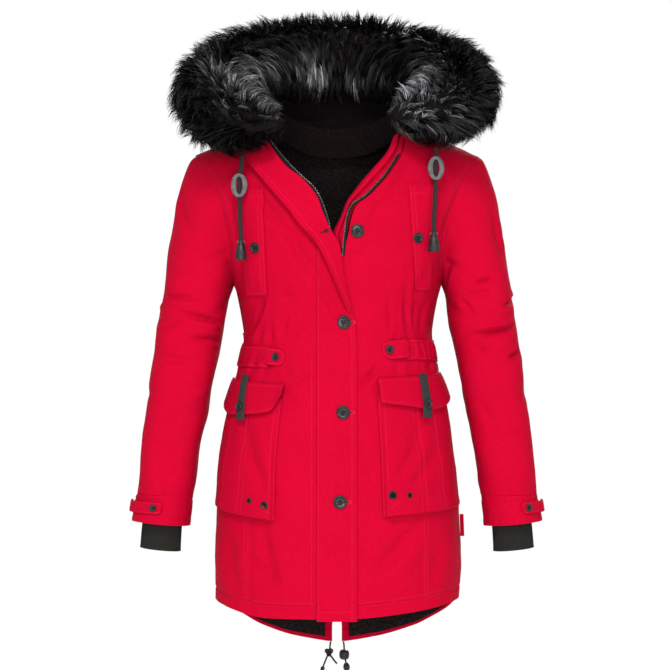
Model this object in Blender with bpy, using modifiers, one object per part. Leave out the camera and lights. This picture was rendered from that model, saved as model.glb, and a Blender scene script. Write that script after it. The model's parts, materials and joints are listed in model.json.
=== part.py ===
"""A hooded winter parka with a deep fur trim, filled out as if it were worn.

The cloth is a real wall everywhere. One rounded body surface is worked out from a short
table of sections, and every panel, pocket, flap, tab and casing is a patch of it. The
sleeves grow out of the armholes, the hood out of the neckline, and the fur sits round the
hood's rim. Metres, +Z up, front towards -Y, origin between the wearer's shoulders.
"""
import math

import bmesh
import bpy
import numpy as np
from mathutils import Matrix, Vector

MM = 0.001

# ---------------------------------------------------------------- driving dimensions (mm)
CLOTH = 2.6            # wall of the padded outer cloth
FLAP = 1.8             # wall of flaps, tabs and facings
LINING = 2.2           # wall of the plush lining
SEAM = 0.3             # gap at every seam
LIE = 0.7              # clearance of a piece that lies on another
STRAP = 1.4            # thickness of the webbing

ROUNDNESS = 2.4        # exponent of the body's rounded sections
ARMPIT_Z = -232.0      # height where the armholes begin
ARCH_Z = -190.0        # height where the body starts to close over the shoulder
ARCH_POWER = 2.2
SHOULDER_TOP = 50.0    # the shoulder line's height at the middle
SHOULDER_SLOPE = 0.42  # its fall for each mm outwards

BODY_ROWS = 14         # rows of faces from hem to armpit
YOKE_ROWS = 7          # rows of faces from armpit to shoulder seam
HALF_COLUMNS = 8       # columns of faces from the middle to the side seam
SLEEVE_CAP_ROWS = 6    # rows of faces of a sleeve's cap

# Body sections: height, half width on each side, depth in front and behind (mm).
BODY_NAMES = ("height", "left", "right", "front", "back")
BODY = (
    (-800, 182, 181, 154, 166),
    (-715, 182, 182, 152, 160),
    (-645, 183, 185, 150, 156),
    (-570, 181, 183, 146, 151),
    (-525, 178, 179, 142, 146),
    (-480, 174, 174, 137, 139),
    (-435, 166, 167, 131, 130),
    (-405, 160, 162, 127, 124),
    (-375, 154, 156, 123, 117),
    (-352, 147, 150, 119, 111),
    (-330, 142, 145, 116, 107),
    (-307, 139, 141, 114, 104),
    (-285, 142, 144, 115, 105),
    (-255, 148, 150, 118, 108),
    (-232, 154, 156, 121, 112),
    (-190, 168, 168, 124, 116),
    (-140, 185, 185, 125, 118),
    (-80, 215, 215, 124, 118),
    (-40, 235, 235, 122, 116),
    (60, 260, 260, 120, 112),
)

# Armhole: outward position and height on either side (mm), from underarm to shoulder tip.
ARMHOLE_NAMES = ("along", "x", "z")
ARMHOLE = (
    (0.00, 154, -232),
    (0.14, 156, -206),
    (0.28, 159, -178),
    (0.44, 164, -143),
    (0.60, 172, -108),
    (0.78, 188, -72),
    (1.00, 212, -39),
)

# Edge of each front along its zip: height against position (mm). Below it is the middle.
RIGHT_EDGE = (
    (-760, -0.2), (-215, -0.2), (-198, -2.5), (-172, -9), (-145, -14), (-111, -26),
    (-94, -36), (-75, -56), (-59, -72), (-33, -93), (-20, -102), (-8, -101), (14, -88),
)
LEFT_EDGE = (
    (-760, 0.2), (-215, 0.4), (-198, 5), (-184, 10), (-162, 16), (-137, 21), (-118, 29),
    (-107, 44), (-90, 61), (-75, 74), (-54, 88), (-42, 95), (-20, 100), (-6, 98), (14, 88),
)
NECK_X = 88.0          # neck points on the shoulder seams
BACK_NECK_Z = -5.0

# Hem: position across against height (mm).
FRONT_HEM = ((-185, -708), (-100, -716), (0, -716), (100, -709), (185, -697))
BACK_HEM = ((-185, -708), (-172, -719), (-152, -735), (-115, -759), (-60, -779), (0, -788),
            (60, -779), (122, -758), (140, -747), (171, -722), (185, -697))
VENT_TOP_Z = -655.0
VENT_HALF = 7.5
VENT_FACING = 28.0     # the lining stops this far from the vent
LINING_HEM = 13.0      # and this far above the hem

# Broad soft folds pressed into the body: angle round it (degrees, 0 in front), height,
# slant, length, width and depth (mm).
BODY_FOLDS = (
    (-64, -284, 30, 90, 36, 4.0),
    (-38, -384, -35, 90, 38, 2.5),
    (60, -278, -28, 90, 36, 4.0),
    (-76, -250, 52, 80, 34, 3.0),
    (36, -388, 32, 86, 38, 2.5),
    (118, -288, -30, 100, 40, 4.0),
    (-122, -284, 32, 96, 40, 4.0),
    (150, -386, 24, 96, 40, 3.5),
    (-154, -384, -26, 96, 40, 3.5),
    (172, -270, -12, 90, 40, 3.0),
)
WAIST_Z = -333.0       # the gathered casing's height, where the folds fade out

# ---------------------------------------------------------------- colours
RED = (0.74, 0.0, 0.028)
PLUSH_BLACK = (0.010, 0.009, 0.010)
FUR_BLACK = (0.012, 0.011, 0.012)
RIB_DARK = (0.030, 0.031, 0.026)
HARDWARE = (0.055, 0.055, 0.062)
CORD_DARK = (0.028, 0.028, 0.032)
METAL_GREY = (0.16, 0.16, 0.17)


# ---------------------------------------------------------------- scene and helpers
def clear_scene():
    """Remove whatever the file holds."""
    for item in list(bpy.data.objects):
        bpy.data.objects.remove(item, do_unlink=True)


def material(name, colour, roughness=0.8, metallic=0.0):
    """A Principled material of one colour, made once."""
    if name in bpy.data.materials:
        return bpy.data.materials[name]
    made = bpy.data.materials.new(name)
    made.use_nodes = True
    shader = made.node_tree.nodes["Principled BSDF"]
    shader.inputs["Base Color"].default_value = (*colour, 1.0)
    shader.inputs["Roughness"].default_value = roughness
    shader.inputs["Metallic"].default_value = metallic
    return made


def place(mesh, name, finish):
    """Put a mesh into the part's collection as a named object."""
    item = bpy.data.objects.new(name, mesh)
    mesh.materials.append(finish)
    bpy.data.collections["hooded_winter_parka"].objects.link(item)
    return item


def curve_through(stations, values, at):
    """Monotone cubic through (station, value) pairs, read at one or many stations."""
    xs = np.asarray(stations, float)
    ys = np.asarray(values, float)
    step = np.diff(xs)
    slope = np.diff(ys) / step
    lean = np.zeros_like(ys)
    lean[0], lean[-1] = slope[0], slope[-1]
    same = slope[:-1] * slope[1:] > 0
    safe = np.where(same, slope[:-1] + slope[1:], 1.0)
    lean[1:-1] = np.where(same, 2.0 * slope[:-1] * slope[1:] / safe, 0.0)
    at = np.clip(np.asarray(at, float), xs[0], xs[-1])
    cell = np.clip(np.searchsorted(xs, at, side="right") - 1, 0, len(xs) - 2)
    t = (at - xs[cell]) / step[cell]
    return ((1 + 2 * t) * (1 - t) ** 2 * ys[cell] + t * (1 - t) ** 2 * step[cell] * lean[cell]
            + t * t * (3 - 2 * t) * ys[cell + 1] + t * t * (t - 1) * step[cell] * lean[cell + 1])


def column(table, names, name, at):
    """One named column of a table, read smoothly at a station of its first column."""
    rows = np.asarray(table, float)
    return curve_through(rows[:, 0], rows[:, names.index(name)], at)


def unit(vectors):
    """Vectors of length one along the last axis."""
    return vectors / np.maximum(np.linalg.norm(vectors, axis=-1, keepdims=True), 1e-9)


def grid_normals(points, wrap=False):
    """Outward directions of a grid of points, from its rows and columns."""
    down = np.gradient(points, axis=0)
    if wrap:
        ringed = np.concatenate([points[:, -1:], points, points[:, :1]], axis=1)
        across = np.gradient(ringed, axis=1)[:, 1:-1]
    else:
        across = np.gradient(points, axis=1)
    return unit(np.cross(across, down))


def wall(name, outer, inner, finish, wrap=False, hole=None):
    """A loft of cloth between sections: outer and inner grids joined round every edge.

    hole marks faces of the grid that are left out, such as a slit.
    """
    rows, columns = outer.shape[:2]
    count = rows * columns
    spans = columns if wrap else columns - 1
    faces, edges = [], {}
    for r in range(rows - 1):
        for c in range(spans):
            if hole is not None and hole[r, c]:
                continue
            d = (c + 1) % columns
            quad = (r * columns + c, r * columns + d, (r + 1) * columns + d, (r + 1) * columns + c)
            faces.append(quad)
            faces.append(tuple(count + i for i in reversed(quad)))
            for a, b in zip(quad, quad[1:] + quad[:1]):
                if edges.pop((b, a), None) is None:
                    edges[(a, b)] = True
    for a, b in edges:
        faces.append((b, a, count + a, count + b))
    vertices = np.concatenate([outer.reshape(-1, 3), inner.reshape(-1, 3)]) * MM
    mesh = bpy.data.meshes.new(name)
    mesh.from_pydata(vertices.tolist(), [], faces)
    body = bmesh.new()
    body.from_mesh(mesh)
    loose = [v for v in body.verts if not v.link_faces]
    bmesh.ops.delete(body, geom=loose, context="VERTS")
    bmesh.ops.recalc_face_normals(body, faces=body.faces[:])
    body.to_mesh(mesh)
    body.free()
    mesh.shade_smooth()
    mesh.set_sharp_from_angle(angle=math.radians(50))
    return place(mesh, name, finish)


def cloth(name, points, normals, thickness, finish, wrap=False, hole=None):
    """A wall whose outer face is the grid given and whose inner face lies thickness behind."""
    return wall(name, points, points - normals * thickness, finish, wrap, hole)


# ---------------------------------------------------------------- the body's surface
def ring_profile(x, z):
    """Depth share (0 to 1) of the rounded section at a position across."""
    half = np.where(x >= 0, column(BODY, BODY_NAMES, "right", z),
                    column(BODY, BODY_NAMES, "left", z))
    share = np.clip(np.abs(x) / half, 0.0, 1.0)
    return np.power(np.maximum(1.0 - share ** ROUNDNESS, 0.0), 1.0 / ROUNDNESS)


def shoulder_z(x):
    """Height of the shoulder seam's line above a position across."""
    return SHOULDER_TOP - SHOULDER_SLOPE * np.abs(x)


def arch(x, z):
    """How far the body has closed over the shoulder, 1 on the chest and 0 on the seam."""
    rise = np.clip((z - ARCH_Z) / (shoulder_z(x) - ARCH_Z), 0.0, 1.0)
    return np.power(np.maximum(1.0 - rise ** ARCH_POWER, 0.0), 1.0 / ARCH_POWER)


def front_point(x, z):
    """Points of the front's surface above positions (x, z)."""
    x, z = np.broadcast_arrays(np.asarray(x, float), np.asarray(z, float))
    y = -column(BODY, BODY_NAMES, "front", z) * ring_profile(x, z) * arch(x, z)
    return np.stack([x, y, z], axis=-1)


def back_point(x, z):
    """Points of the back's surface above positions (x, z)."""
    x, z = np.broadcast_arrays(np.asarray(x, float), np.asarray(z, float))
    y = column(BODY, BODY_NAMES, "back", z) * ring_profile(x, z) * arch(x, z)
    return np.stack([x, y, z], axis=-1)


def ring_x(angle, z):
    """Position across at an angle round the body, 0 in front and 90 degrees at the side."""
    lean = np.sin(np.radians(angle))
    half = np.where(lean >= 0, column(BODY, BODY_NAMES, "right", z),
                    column(BODY, BODY_NAMES, "left", z))
    return np.sign(lean) * half * np.abs(lean) ** (2.0 / ROUNDNESS)


def round_point(angle, z):
    """Points of the body's surface at angles round it, below the armpit."""
    angle, z = np.broadcast_arrays(np.asarray(angle, float), np.asarray(z, float))
    turn = np.cos(np.radians(angle))
    depth = np.where(turn >= 0, column(BODY, BODY_NAMES, "front", z),
                     column(BODY, BODY_NAMES, "back", z))
    y = -np.sign(turn) * depth * np.abs(turn) ** (2.0 / ROUNDNESS)
    return np.stack([ring_x(angle, z), y, z], axis=-1)


def fold_depth(angle, z):
    """How deep the broad folds press the body in at an angle and height."""
    depth = np.zeros(np.broadcast(angle, z).shape)
    for place_at, high, slant, length, width, deep in BODY_FOLDS:
        arc = ((angle - place_at + 180.0) % 360.0 - 180.0) * 2.4
        rise = z - high
        cos, sin = math.cos(math.radians(slant)), math.sin(math.radians(slant))
        along = (arc * cos + rise * sin) / (0.5 * length)
        across = (-arc * sin + rise * cos) / (0.5 * width)
        depth = depth + deep * np.exp(-along ** 2 - across ** 2)
    return depth * np.clip((np.abs(z - WAIST_Z) - 16.0) / 20.0, 0.0, 1.0)


def with_folds(points, normals):
    """Press the broad folds into a grid of the body's points."""
    angle = np.degrees(np.arctan2(points[..., 0], -points[..., 1]))
    return points - normals * fold_depth(angle, points[..., 2])[..., None]


def analytic_normals(surface, first, second, step=0.5):
    """Outward directions of a surface function of two parameters, by small steps."""
    one = surface(first + step, second) - surface(first - step, second)
    two = surface(first, second + step) - surface(first, second - step)
    return unit(np.cross(one, two))


# ---------------------------------------------------------------- body panels
def across_weights(count):
    """Places of the columns from the middle (0) to the side (1), closer near the side."""
    turn = np.linspace(0.0, 0.5 * math.pi, count + 1)
    return np.sin(turn) ** (2.0 / ROUNDNESS)


def armhole_points(sign, count):
    """Positions (x, z) up the armhole at one side."""
    at = np.linspace(0.0, 1.0, count + 1)
    x = column(ARMHOLE, ARMHOLE_NAMES, "x", at)
    z = column(ARMHOLE, ARMHOLE_NAMES, "z", at)
    x = x + (2.0 if sign > 0 else 0.0) * (1.0 - at) ** 2
    return sign * x, z


def hem_height(hem, x):
    """Height of a hem line at positions across."""
    return curve_through([p[0] for p in hem], [p[1] for p in hem], x)


def half_front(sign, edge):
    """Grid of (x, z) of one front: rows from hem to shoulder, columns from middle to side."""
    weight = across_weights(HALF_COLUMNS)
    lower = np.linspace(0.0, 1.0, BODY_ROWS + 1)
    grid_x, grid_z = [], []
    for share in lower:
        middle_z = hem_height(FRONT_HEM, 0.0) * (1 - share) + ARMPIT_Z * share
        start = float(curve_through([p[0] for p in edge], [p[1] for p in edge], middle_z))
        side_z = hem_height(FRONT_HEM, sign * 185.0) * (1 - share) + ARMPIT_Z * share
        side = float(ring_x(sign * 90.0, side_z))
        x = start + (side - start) * weight
        z = hem_height(FRONT_HEM, x) * (1 - share) + ARMPIT_Z * share
        x[-1] = ring_x(sign * 90.0, z[-1])
        grid_x.append(x)
        grid_z.append(z)
    arm_x, arm_z = armhole_points(sign, YOKE_ROWS)
    top_z = shoulder_z(NECK_X)
    for step in range(1, YOKE_ROWS + 1):
        share = step / YOKE_ROWS
        start_z = ARMPIT_Z + (top_z - ARMPIT_Z) * share
        start = float(curve_through([p[0] for p in edge], [p[1] for p in edge], start_z))
        even = weight * (1 - share) + np.linspace(0, 1, HALF_COLUMNS + 1) * share
        grid_x.append(start + (arm_x[step] - start) * even)
        grid_z.append(start_z + (arm_z[step] - start_z) * even)
    return np.array(grid_x), np.array(grid_z)


def back_grid():
    """Grid of (x, z) of the back: rows from hem to shoulder, columns from side to side."""
    weight = across_weights(HALF_COLUMNS)
    rows_x, rows_z = [], []
    for share in np.linspace(0.0, 1.0, BODY_ROWS + 1):
        row_x, row_z = [], []
        for sign in (-1, 1):
            side_z = hem_height(BACK_HEM, sign * 185.0) * (1 - share) + ARMPIT_Z * share
            x = float(ring_x(sign * 90.0, side_z)) * weight
            z = hem_height(BACK_HEM, x) * (1 - share) + ARMPIT_Z * share
            x[-1] = ring_x(sign * 90.0, z[-1])
            row_x.append(x)
            row_z.append(z)
        rows_x.append(np.concatenate([row_x[0][::-1], row_x[1][1:]]))
        rows_z.append(np.concatenate([row_z[0][::-1], row_z[1][1:]]))
    arm = {sign: armhole_points(sign, YOKE_ROWS) for sign in (-1, 1)}
    for step in range(1, YOKE_ROWS + 1):
        share = step / YOKE_ROWS
        row_x, row_z = [], []
        for sign in (-1, 1):
            arm_x, arm_z = arm[sign][0][step], arm[sign][1][step]
            even = weight * (1 - share) + np.linspace(0, 1, HALF_COLUMNS + 1) * share
            x = arm_x * even
            middle_z = ARMPIT_Z + (BACK_NECK_Z - ARMPIT_Z) * share
            neck = np.clip(np.abs(x) / NECK_X, 0.0, 1.0)
            top = np.where(np.abs(x) < NECK_X,
                           BACK_NECK_Z + (shoulder_z(NECK_X) - BACK_NECK_Z) * neck ** 2.2,
                           shoulder_z(x))
            straight = middle_z + (arm_z - middle_z) * even
            z = straight * (1 - share ** 3) + top * share ** 3
            row_x.append(x)
            row_z.append(z)
        rows_x.append(np.concatenate([row_x[0][::-1], row_x[1][1:]]))
        rows_z.append(np.concatenate([row_z[0][::-1], row_z[1][1:]]))
    return np.array(rows_x), np.array(rows_z)


def pull_in(points, gap=0.5 * SEAM):
    """Draw a grid's four edges in by half a seam's gap."""
    drawn = points.copy()
    drawn[0] += unit(points[1] - points[0]) * gap
    drawn[-1] += unit(points[-2] - points[-1]) * gap
    drawn[:, 0] += unit(points[:, 1] - points[:, 0]) * gap
    drawn[:, -1] += unit(points[:, -2] - points[:, -1]) * gap
    return drawn


def shell_of(points, sign):
    """A grid's outward directions, turned so that they leave the body."""
    return grid_normals(points) * sign


def body_panels():
    """The two fronts, the back and its plush lining; returns the armhole loops."""
    red = material("red_shell", RED, 0.75)
    plush = material("black_plush", PLUSH_BLACK, 0.95)
    fronts = {}
    for sign, edge in ((-1, RIGHT_EDGE), (1, LEFT_EDGE)):
        points = front_point(*half_front(sign, edge))
        fronts[sign] = [points, shell_of(points, sign)]
    points = back_point(*back_grid())
    back = [points, shell_of(points, -1)]
    # Both sides of a seam share one outward direction, so their walls butt.
    for sign in (-1, 1):
        edge = 0 if sign < 0 else -1
        shared = unit(fronts[sign][1][:, -1] + back[1][:, edge])
        fronts[sign][1][:, -1] = shared
        back[1][:, edge] = shared
        lift = unit(np.array([sign * SHOULDER_SLOPE, 0.0, 1.0]))
        fronts[sign][1][-1] = lift
        beyond = back[0][-1, :, 0] * sign >= NECK_X
        back[1][-1, beyond] = lift
    armholes = {}
    for sign in (-1, 1):
        edge = 0 if sign < 0 else -1
        front_up = fronts[sign][0][BODY_ROWS:, -1]
        back_up = back[0][BODY_ROWS:, edge]
        lean_front = unit(front_up - fronts[sign][0][BODY_ROWS:, -2])
        lean_back = unit(back_up - back[0][BODY_ROWS:, 1 if sign < 0 else -2])
        loop = np.concatenate([front_up, back_up[::-1][1:-1]])
        lean = np.concatenate([lean_front, lean_back[::-1][1:-1]])
        facing = np.concatenate([fronts[sign][1][BODY_ROWS:, -1],
                                 back[1][BODY_ROWS:, edge][::-1][1:-1]])
        armholes[sign] = (loop, lean, facing)
    names = {-1: "front_right", 1: "front_left"}
    for sign in (-1, 1):
        points, out = fronts[sign]
        cloth(names[sign], with_folds(pull_in(points), out), out, CLOTH, red)
    # The back is slit at its middle below the vent's top.
    points, out = back
    split = np.insert(np.arange(points.shape[1]), HALF_COLUMNS, HALF_COLUMNS)
    points, out = points[:, split].copy(), out[:, split].copy()
    low = points[:, HALF_COLUMNS, 2] < VENT_TOP_Z
    spread = VENT_HALF * np.clip((VENT_TOP_Z - points[:, HALF_COLUMNS, 2]) / 110.0, 0.1, 1.0)
    spread = np.where(low, spread, 0.15)
    points[:, HALF_COLUMNS, 0] -= spread
    points[:, HALF_COLUMNS + 1, 0] += spread
    hole = np.zeros((points.shape[0] - 1, points.shape[1] - 1), bool)
    hole[:, HALF_COLUMNS] = low[:-1]
    drawn = with_folds(points, out)
    drawn[:-1, 0] += unit(points[:-1, 1] - points[:-1, 0]) * 0.15
    drawn[:-1, -1] += unit(points[:-1, -2] - points[:-1, -1]) * 0.15
    drawn[-1] += unit(points[-2] - points[-1]) * 0.15
    cloth("back_panel", drawn, out, CLOTH, red, hole=hole)
    # The lining hangs inside the back, short of its hem, its vent and its seams.
    inside = drawn - out * (CLOTH + 2.2)
    inside[-2:] -= out[-2:] * 2.0
    inner = inside[1:, 2:-2].copy()
    hem_rise = inside[0, 2:-2] + unit(inside[1, 2:-2] - inside[0, 2:-2]) * LINING_HEM
    rows = np.concatenate([hem_rise[None], inner])
    directions = np.concatenate([out[:1, 2:-2], out[1:, 2:-2]])
    middle = HALF_COLUMNS - 2
    cut = np.zeros((rows.shape[0] - 1, rows.shape[1] - 1), bool)
    cut[:, middle - 1:middle + 2] = (rows[:-1, middle, 2] < VENT_TOP_Z + 8)[:, None]
    rows[-1] = 0.6 * rows[-1] + 0.4 * rows[-2]
    split_rows = rows[:, middle, 2] < VENT_TOP_Z + 8
    rows[split_rows, middle - 1, 0] = -VENT_FACING
    rows[split_rows, middle + 2, 0] = VENT_FACING
    cloth("back_lining", rows, directions, LINING, plush, hole=cut)
    return armholes


# ---------------------------------------------------------------- sleeves, cuffs and ribs
# Sleeve sections: height, outer and inner position across, middle's depth, half depth (mm).
SLEEVE_NAMES = ("height", "outer", "inner", "y", "half")
SLEEVE = (
    (-640, 306, 224, -34, 40),
    (-592, 303, 221, -32, 43),
    (-543, 297, 213.5, -29, 45),
    (-510, 294, 209, -26, 48),
    (-465, 289.5, 202, -21, 51),
    (-420, 285, 193.5, -15, 54),
    (-375, 279, 184.5, -10, 56),
    (-330, 273, 175.5, -7, 59),
    (-285, 267, 167, -4, 62),
    (-258, 262, 163.5, -2, 65),
)
CAP_END_Z = -258.0
SLEEVE_END_Z = -543.0
CUFF_END_Z = -590.0
SLEEVE_ROW = 27.0

# Creases in the sleeves: angle round (0 inside, 90 in front, 180 outside), height, slant,
# length, width, depth (mm).
SLEEVE_FOLDS = (
    (135, -282, 4, 56, 17, 5.0),
    (70, -316, 22, 60, 18, 5.0),
    (120, -338, 12, 50, 15, 3.5),
    (150, -392, -10, 46, 15, 2.5),
    (255, -300, -14, 70, 20, 4.5),
    (225, -346, 16, 60, 18, 3.5),
    (290, -262, 24, 60, 20, 4.0),
    (200, -440, -8, 50, 16, 2.5),
    (40, -268, -30, 48, 18, 4.0),
)


def sleeve_ring(sign, z, count, grow=0.0, tilt=0.0):
    """One level section of a sleeve, from its inside round by the front."""
    outer = float(column(SLEEVE, SLEEVE_NAMES, "outer", z)) + grow
    inner = float(column(SLEEVE, SLEEVE_NAMES, "inner", z)) - grow
    middle = float(column(SLEEVE, SLEEVE_NAMES, "y", z))
    half = float(column(SLEEVE, SLEEVE_NAMES, "half", z)) + grow
    turn = np.linspace(0.0, 2 * math.pi, count, endpoint=False)
    x = 0.5 * (outer + inner) - 0.5 * (outer - inner) * np.cos(turn)
    y = middle - half * np.sin(turn)
    height = np.full(count, z) + tilt * 0.5 * (1 - np.cos(turn))
    return np.stack([sign * x, y, height], axis=-1)


def sleeve_creases(points, sign):
    """Depth of the sleeve's creases at its points."""
    middle_x = 0.5 * (column(SLEEVE, SLEEVE_NAMES, "outer", points[..., 2])
                      + column(SLEEVE, SLEEVE_NAMES, "inner", points[..., 2]))
    middle_y = column(SLEEVE, SLEEVE_NAMES, "y", points[..., 2])
    angle = np.degrees(np.arctan2(middle_y - points[..., 1], middle_x - sign * points[..., 0]))
    depth = np.zeros(points.shape[:-1])
    for place_at, high, slant, length, width, deep in SLEEVE_FOLDS:
        arc = ((angle - place_at + 180.0) % 360.0 - 180.0) * 0.92
        rise = points[..., 2] - high
        cos, sin = math.cos(math.radians(slant)), math.sin(math.radians(slant))
        along = (arc * cos + rise * sin) / (0.5 * length)
        across = (-arc * sin + rise * cos) / (0.5 * width)
        depth = depth + deep * np.exp(-along ** 2 - across ** 2)
    return depth


def sleeve(sign, name, armhole):
    """A sleeve: a smooth cap from the armhole's loop, then level sections to the cuff."""
    loop, lean, facing = armhole
    count = len(loop)
    target = sleeve_ring(sign, CAP_END_Z, count)
    reach = np.linalg.norm(target - loop, axis=-1, keepdims=True)
    start = lean * reach * 0.38
    down = unit(np.array([sign * 0.13, -0.03, -1.0]))
    finish = down * reach * 0.8
    rings = []
    for share in np.linspace(0.0, 1.0, SLEEVE_CAP_ROWS + 1):
        h00 = (1 + 2 * share) * (1 - share) ** 2
        h10 = share * (1 - share) ** 2
        h01 = share * share * (3 - 2 * share)
        h11 = share * share * (share - 1)
        rings.append(h00 * loop + h10 * start + h01 * target + h11 * finish)
    steps = int(round((CAP_END_Z - SLEEVE_END_Z) / SLEEVE_ROW))
    for z in np.linspace(CAP_END_Z, SLEEVE_END_Z, steps + 1)[1:]:
        rings.append(sleeve_ring(sign, z, count))
    points = np.array(rings)
    out = grid_normals(points, wrap=True) * sign
    if (out[8, count // 2, 0] * sign) < 0:
        out = -out
    level = np.sum(out[0] * facing, axis=-1, keepdims=True) > 0.5
    out[0] = np.where(level, facing, out[0])
    points[:2, :, 0] += np.where(level[:, 0], 0.0, 1.4 * sign)
    fade = np.linspace(0.0, 1.0, 4)[:, None]
    points[0] += unit(points[1] - points[0]) * np.where(level, 0.3, 2.4)
    points[:4] -= out[:4] * sleeve_creases(points[:4], sign)[..., None] * fade[..., None]
    points[4:-1] -= out[4:-1] * sleeve_creases(points[4:-1], sign)[..., None]
    cloth(name, points, out, CLOTH, material("red_shell", RED, 0.75), wrap=True)


def cuff(sign, side):
    """The cuff band, its tab and snap, and the ribbed knit inside it."""
    red = material("red_shell", RED, 0.75)
    levels = np.linspace(SLEEVE_END_Z - SEAM, CUFF_END_Z, 4)
    rings = np.array([sleeve_ring(sign, z, 2 * YOKE_ROWS, grow, tilt) for z, grow, tilt in
                      zip(levels, (0.0, 1.6, 2.2, 2.6), (0.0, 2.0, 4.0, 8.0))])
    out = grid_normals(rings, wrap=True)
    if (out[1, YOKE_ROWS, 0] * sign) < 0:
        out = -out
    cloth("cuff_" + side, rings, out, CLOTH, red, wrap=True)
    # Knit ribs: ridges in the outer wall over a plain inside.
    knit = material("rib_knit", RIB_DARK, 0.95)
    ribs = 22
    heights = ((-570.0, -2.3, 0.0), (-583.0, -11.4, 2.0), (-628.0, -11.0, 6.0))
    outer = np.array([sleeve_ring(sign, z, 2 * ribs, grow, tilt) for z, grow, tilt in heights])
    outer[1:, :, 0] -= sign * 2.0
    away = grid_normals(outer, wrap=True)
    if (away[1, ribs, 0] * sign) < 0:
        away = -away
    ridge = np.where(np.arange(2 * ribs) % 2 == 0, 0.0, 1.0)
    wall("rib_cuff_" + side, outer - away * ridge[None, :, None], outer - away * 2.8, knit,
         wrap=True)


# ---------------------------------------------------------------- what lies on the fronts
def lay_front(name, x, z, lift, thickness, finish):
    """A patch of the front's surface over a grid (x, z), raised by lift."""
    points = front_point(x, z)
    out = analytic_normals(front_point, x, z)
    base = with_folds(points, out) + out * np.asarray(lift, float)[..., None]
    return wall(name, base + out * thickness, base, finish)


def lay_round(name, angle, z, lift, thickness, finish, hole=None):
    """A patch of the body's lower surface over a grid (angle, z), raised by lift."""
    points = round_point(angle, z)
    out = analytic_normals(round_point, angle, z)
    base = with_folds(points, out) + out * np.asarray(lift, float)[..., None]
    return wall(name, base + out * thickness, base, finish, hole=hole)


def strip_grid(rows, across):
    """Grid (x, z) of a strip given by rows of its two edges: z, x, z, x."""
    rows = np.asarray(rows, float)
    share = np.asarray(across, float)
    z = rows[:, 0:1] * (1 - share) + rows[:, 2:3] * share
    x = rows[:, 1:2] * (1 - share) + rows[:, 3:4] * share
    return x, z


FLAP_HALF = 29.0       # half width of the storm flap
BREAK_Z = -330.0       # where the storm flap's edge leaves the upright
FLAP_TOP_Z = -180.0
TURNED_LIFT = LIE + FLAP + 1.4
# Fold line of the turned storm flap: height, position; and its free edge beside it (mm).
FOLD_LINE = ((-330, 29.0), (-308, 28.2), (-284, 25.4), (-266, 20.8), (-242, 14.5), (-213, 9.2),
             (-178, 4.3))
TURNED = (
    (-273, 22.0, -277, 18.0),
    (-257, 18.0, -265, 11.6),
    (-242, 14.3, -251, 5.6),
    (-213, 9.0, -225, -4.8),
    (-178, 4.0, -194, -18.6),
    (-156, -8.6, -168, -34.0),
    (-129, -20.4, -150, -51.0),
    (-108, -28.5, -128, -67.0),
    (-82, -49.5, -105, -87.0),
    (-62, -75.0, -82, -107.0),
    (-38, -92.0, -60, -127.0),
    (-25, -101.5, -49, -140.0),
)
# Teeth line of the two zip tapes: height, position (mm).
RIGHT_TEETH = ((-172, -8.2), (-145, -13.2), (-111, -24.6), (-94, -34.6), (-75, -54.4),
               (-59, -70.4), (-33, -91.8), (-20, -100.6))
LEFT_TEETH = ((-192, 9.0), (-184, 9.4), (-162, 11.6), (-137, 14.8), (-118, 23.2), (-107, 39.0),
              (-90, 56.4), (-75, 69.6), (-54, 83.2), (-42, 90.2))
# Turned facing of the left front: its inner and outer edges: height, position (mm).
LEFT_FACING = (
    (-176, 0.5, -184, 8.6),
    (-162, -7.0, -164, 13.6),
    (-137, 4.3, -139, 18.6),
    (-111, 14.5, -120, 26.6),
    (-94, 26.5, -108, 40.5),
    (-77, 39.4, -91, 59.0),
    (-56, 57.0, -75, 72.0),
    (-37, 73.0, -55, 86.0),
    (-20, 82.0, -36, 94.0),
    (-6, 87.0, -16, 98.0),
)


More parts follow.
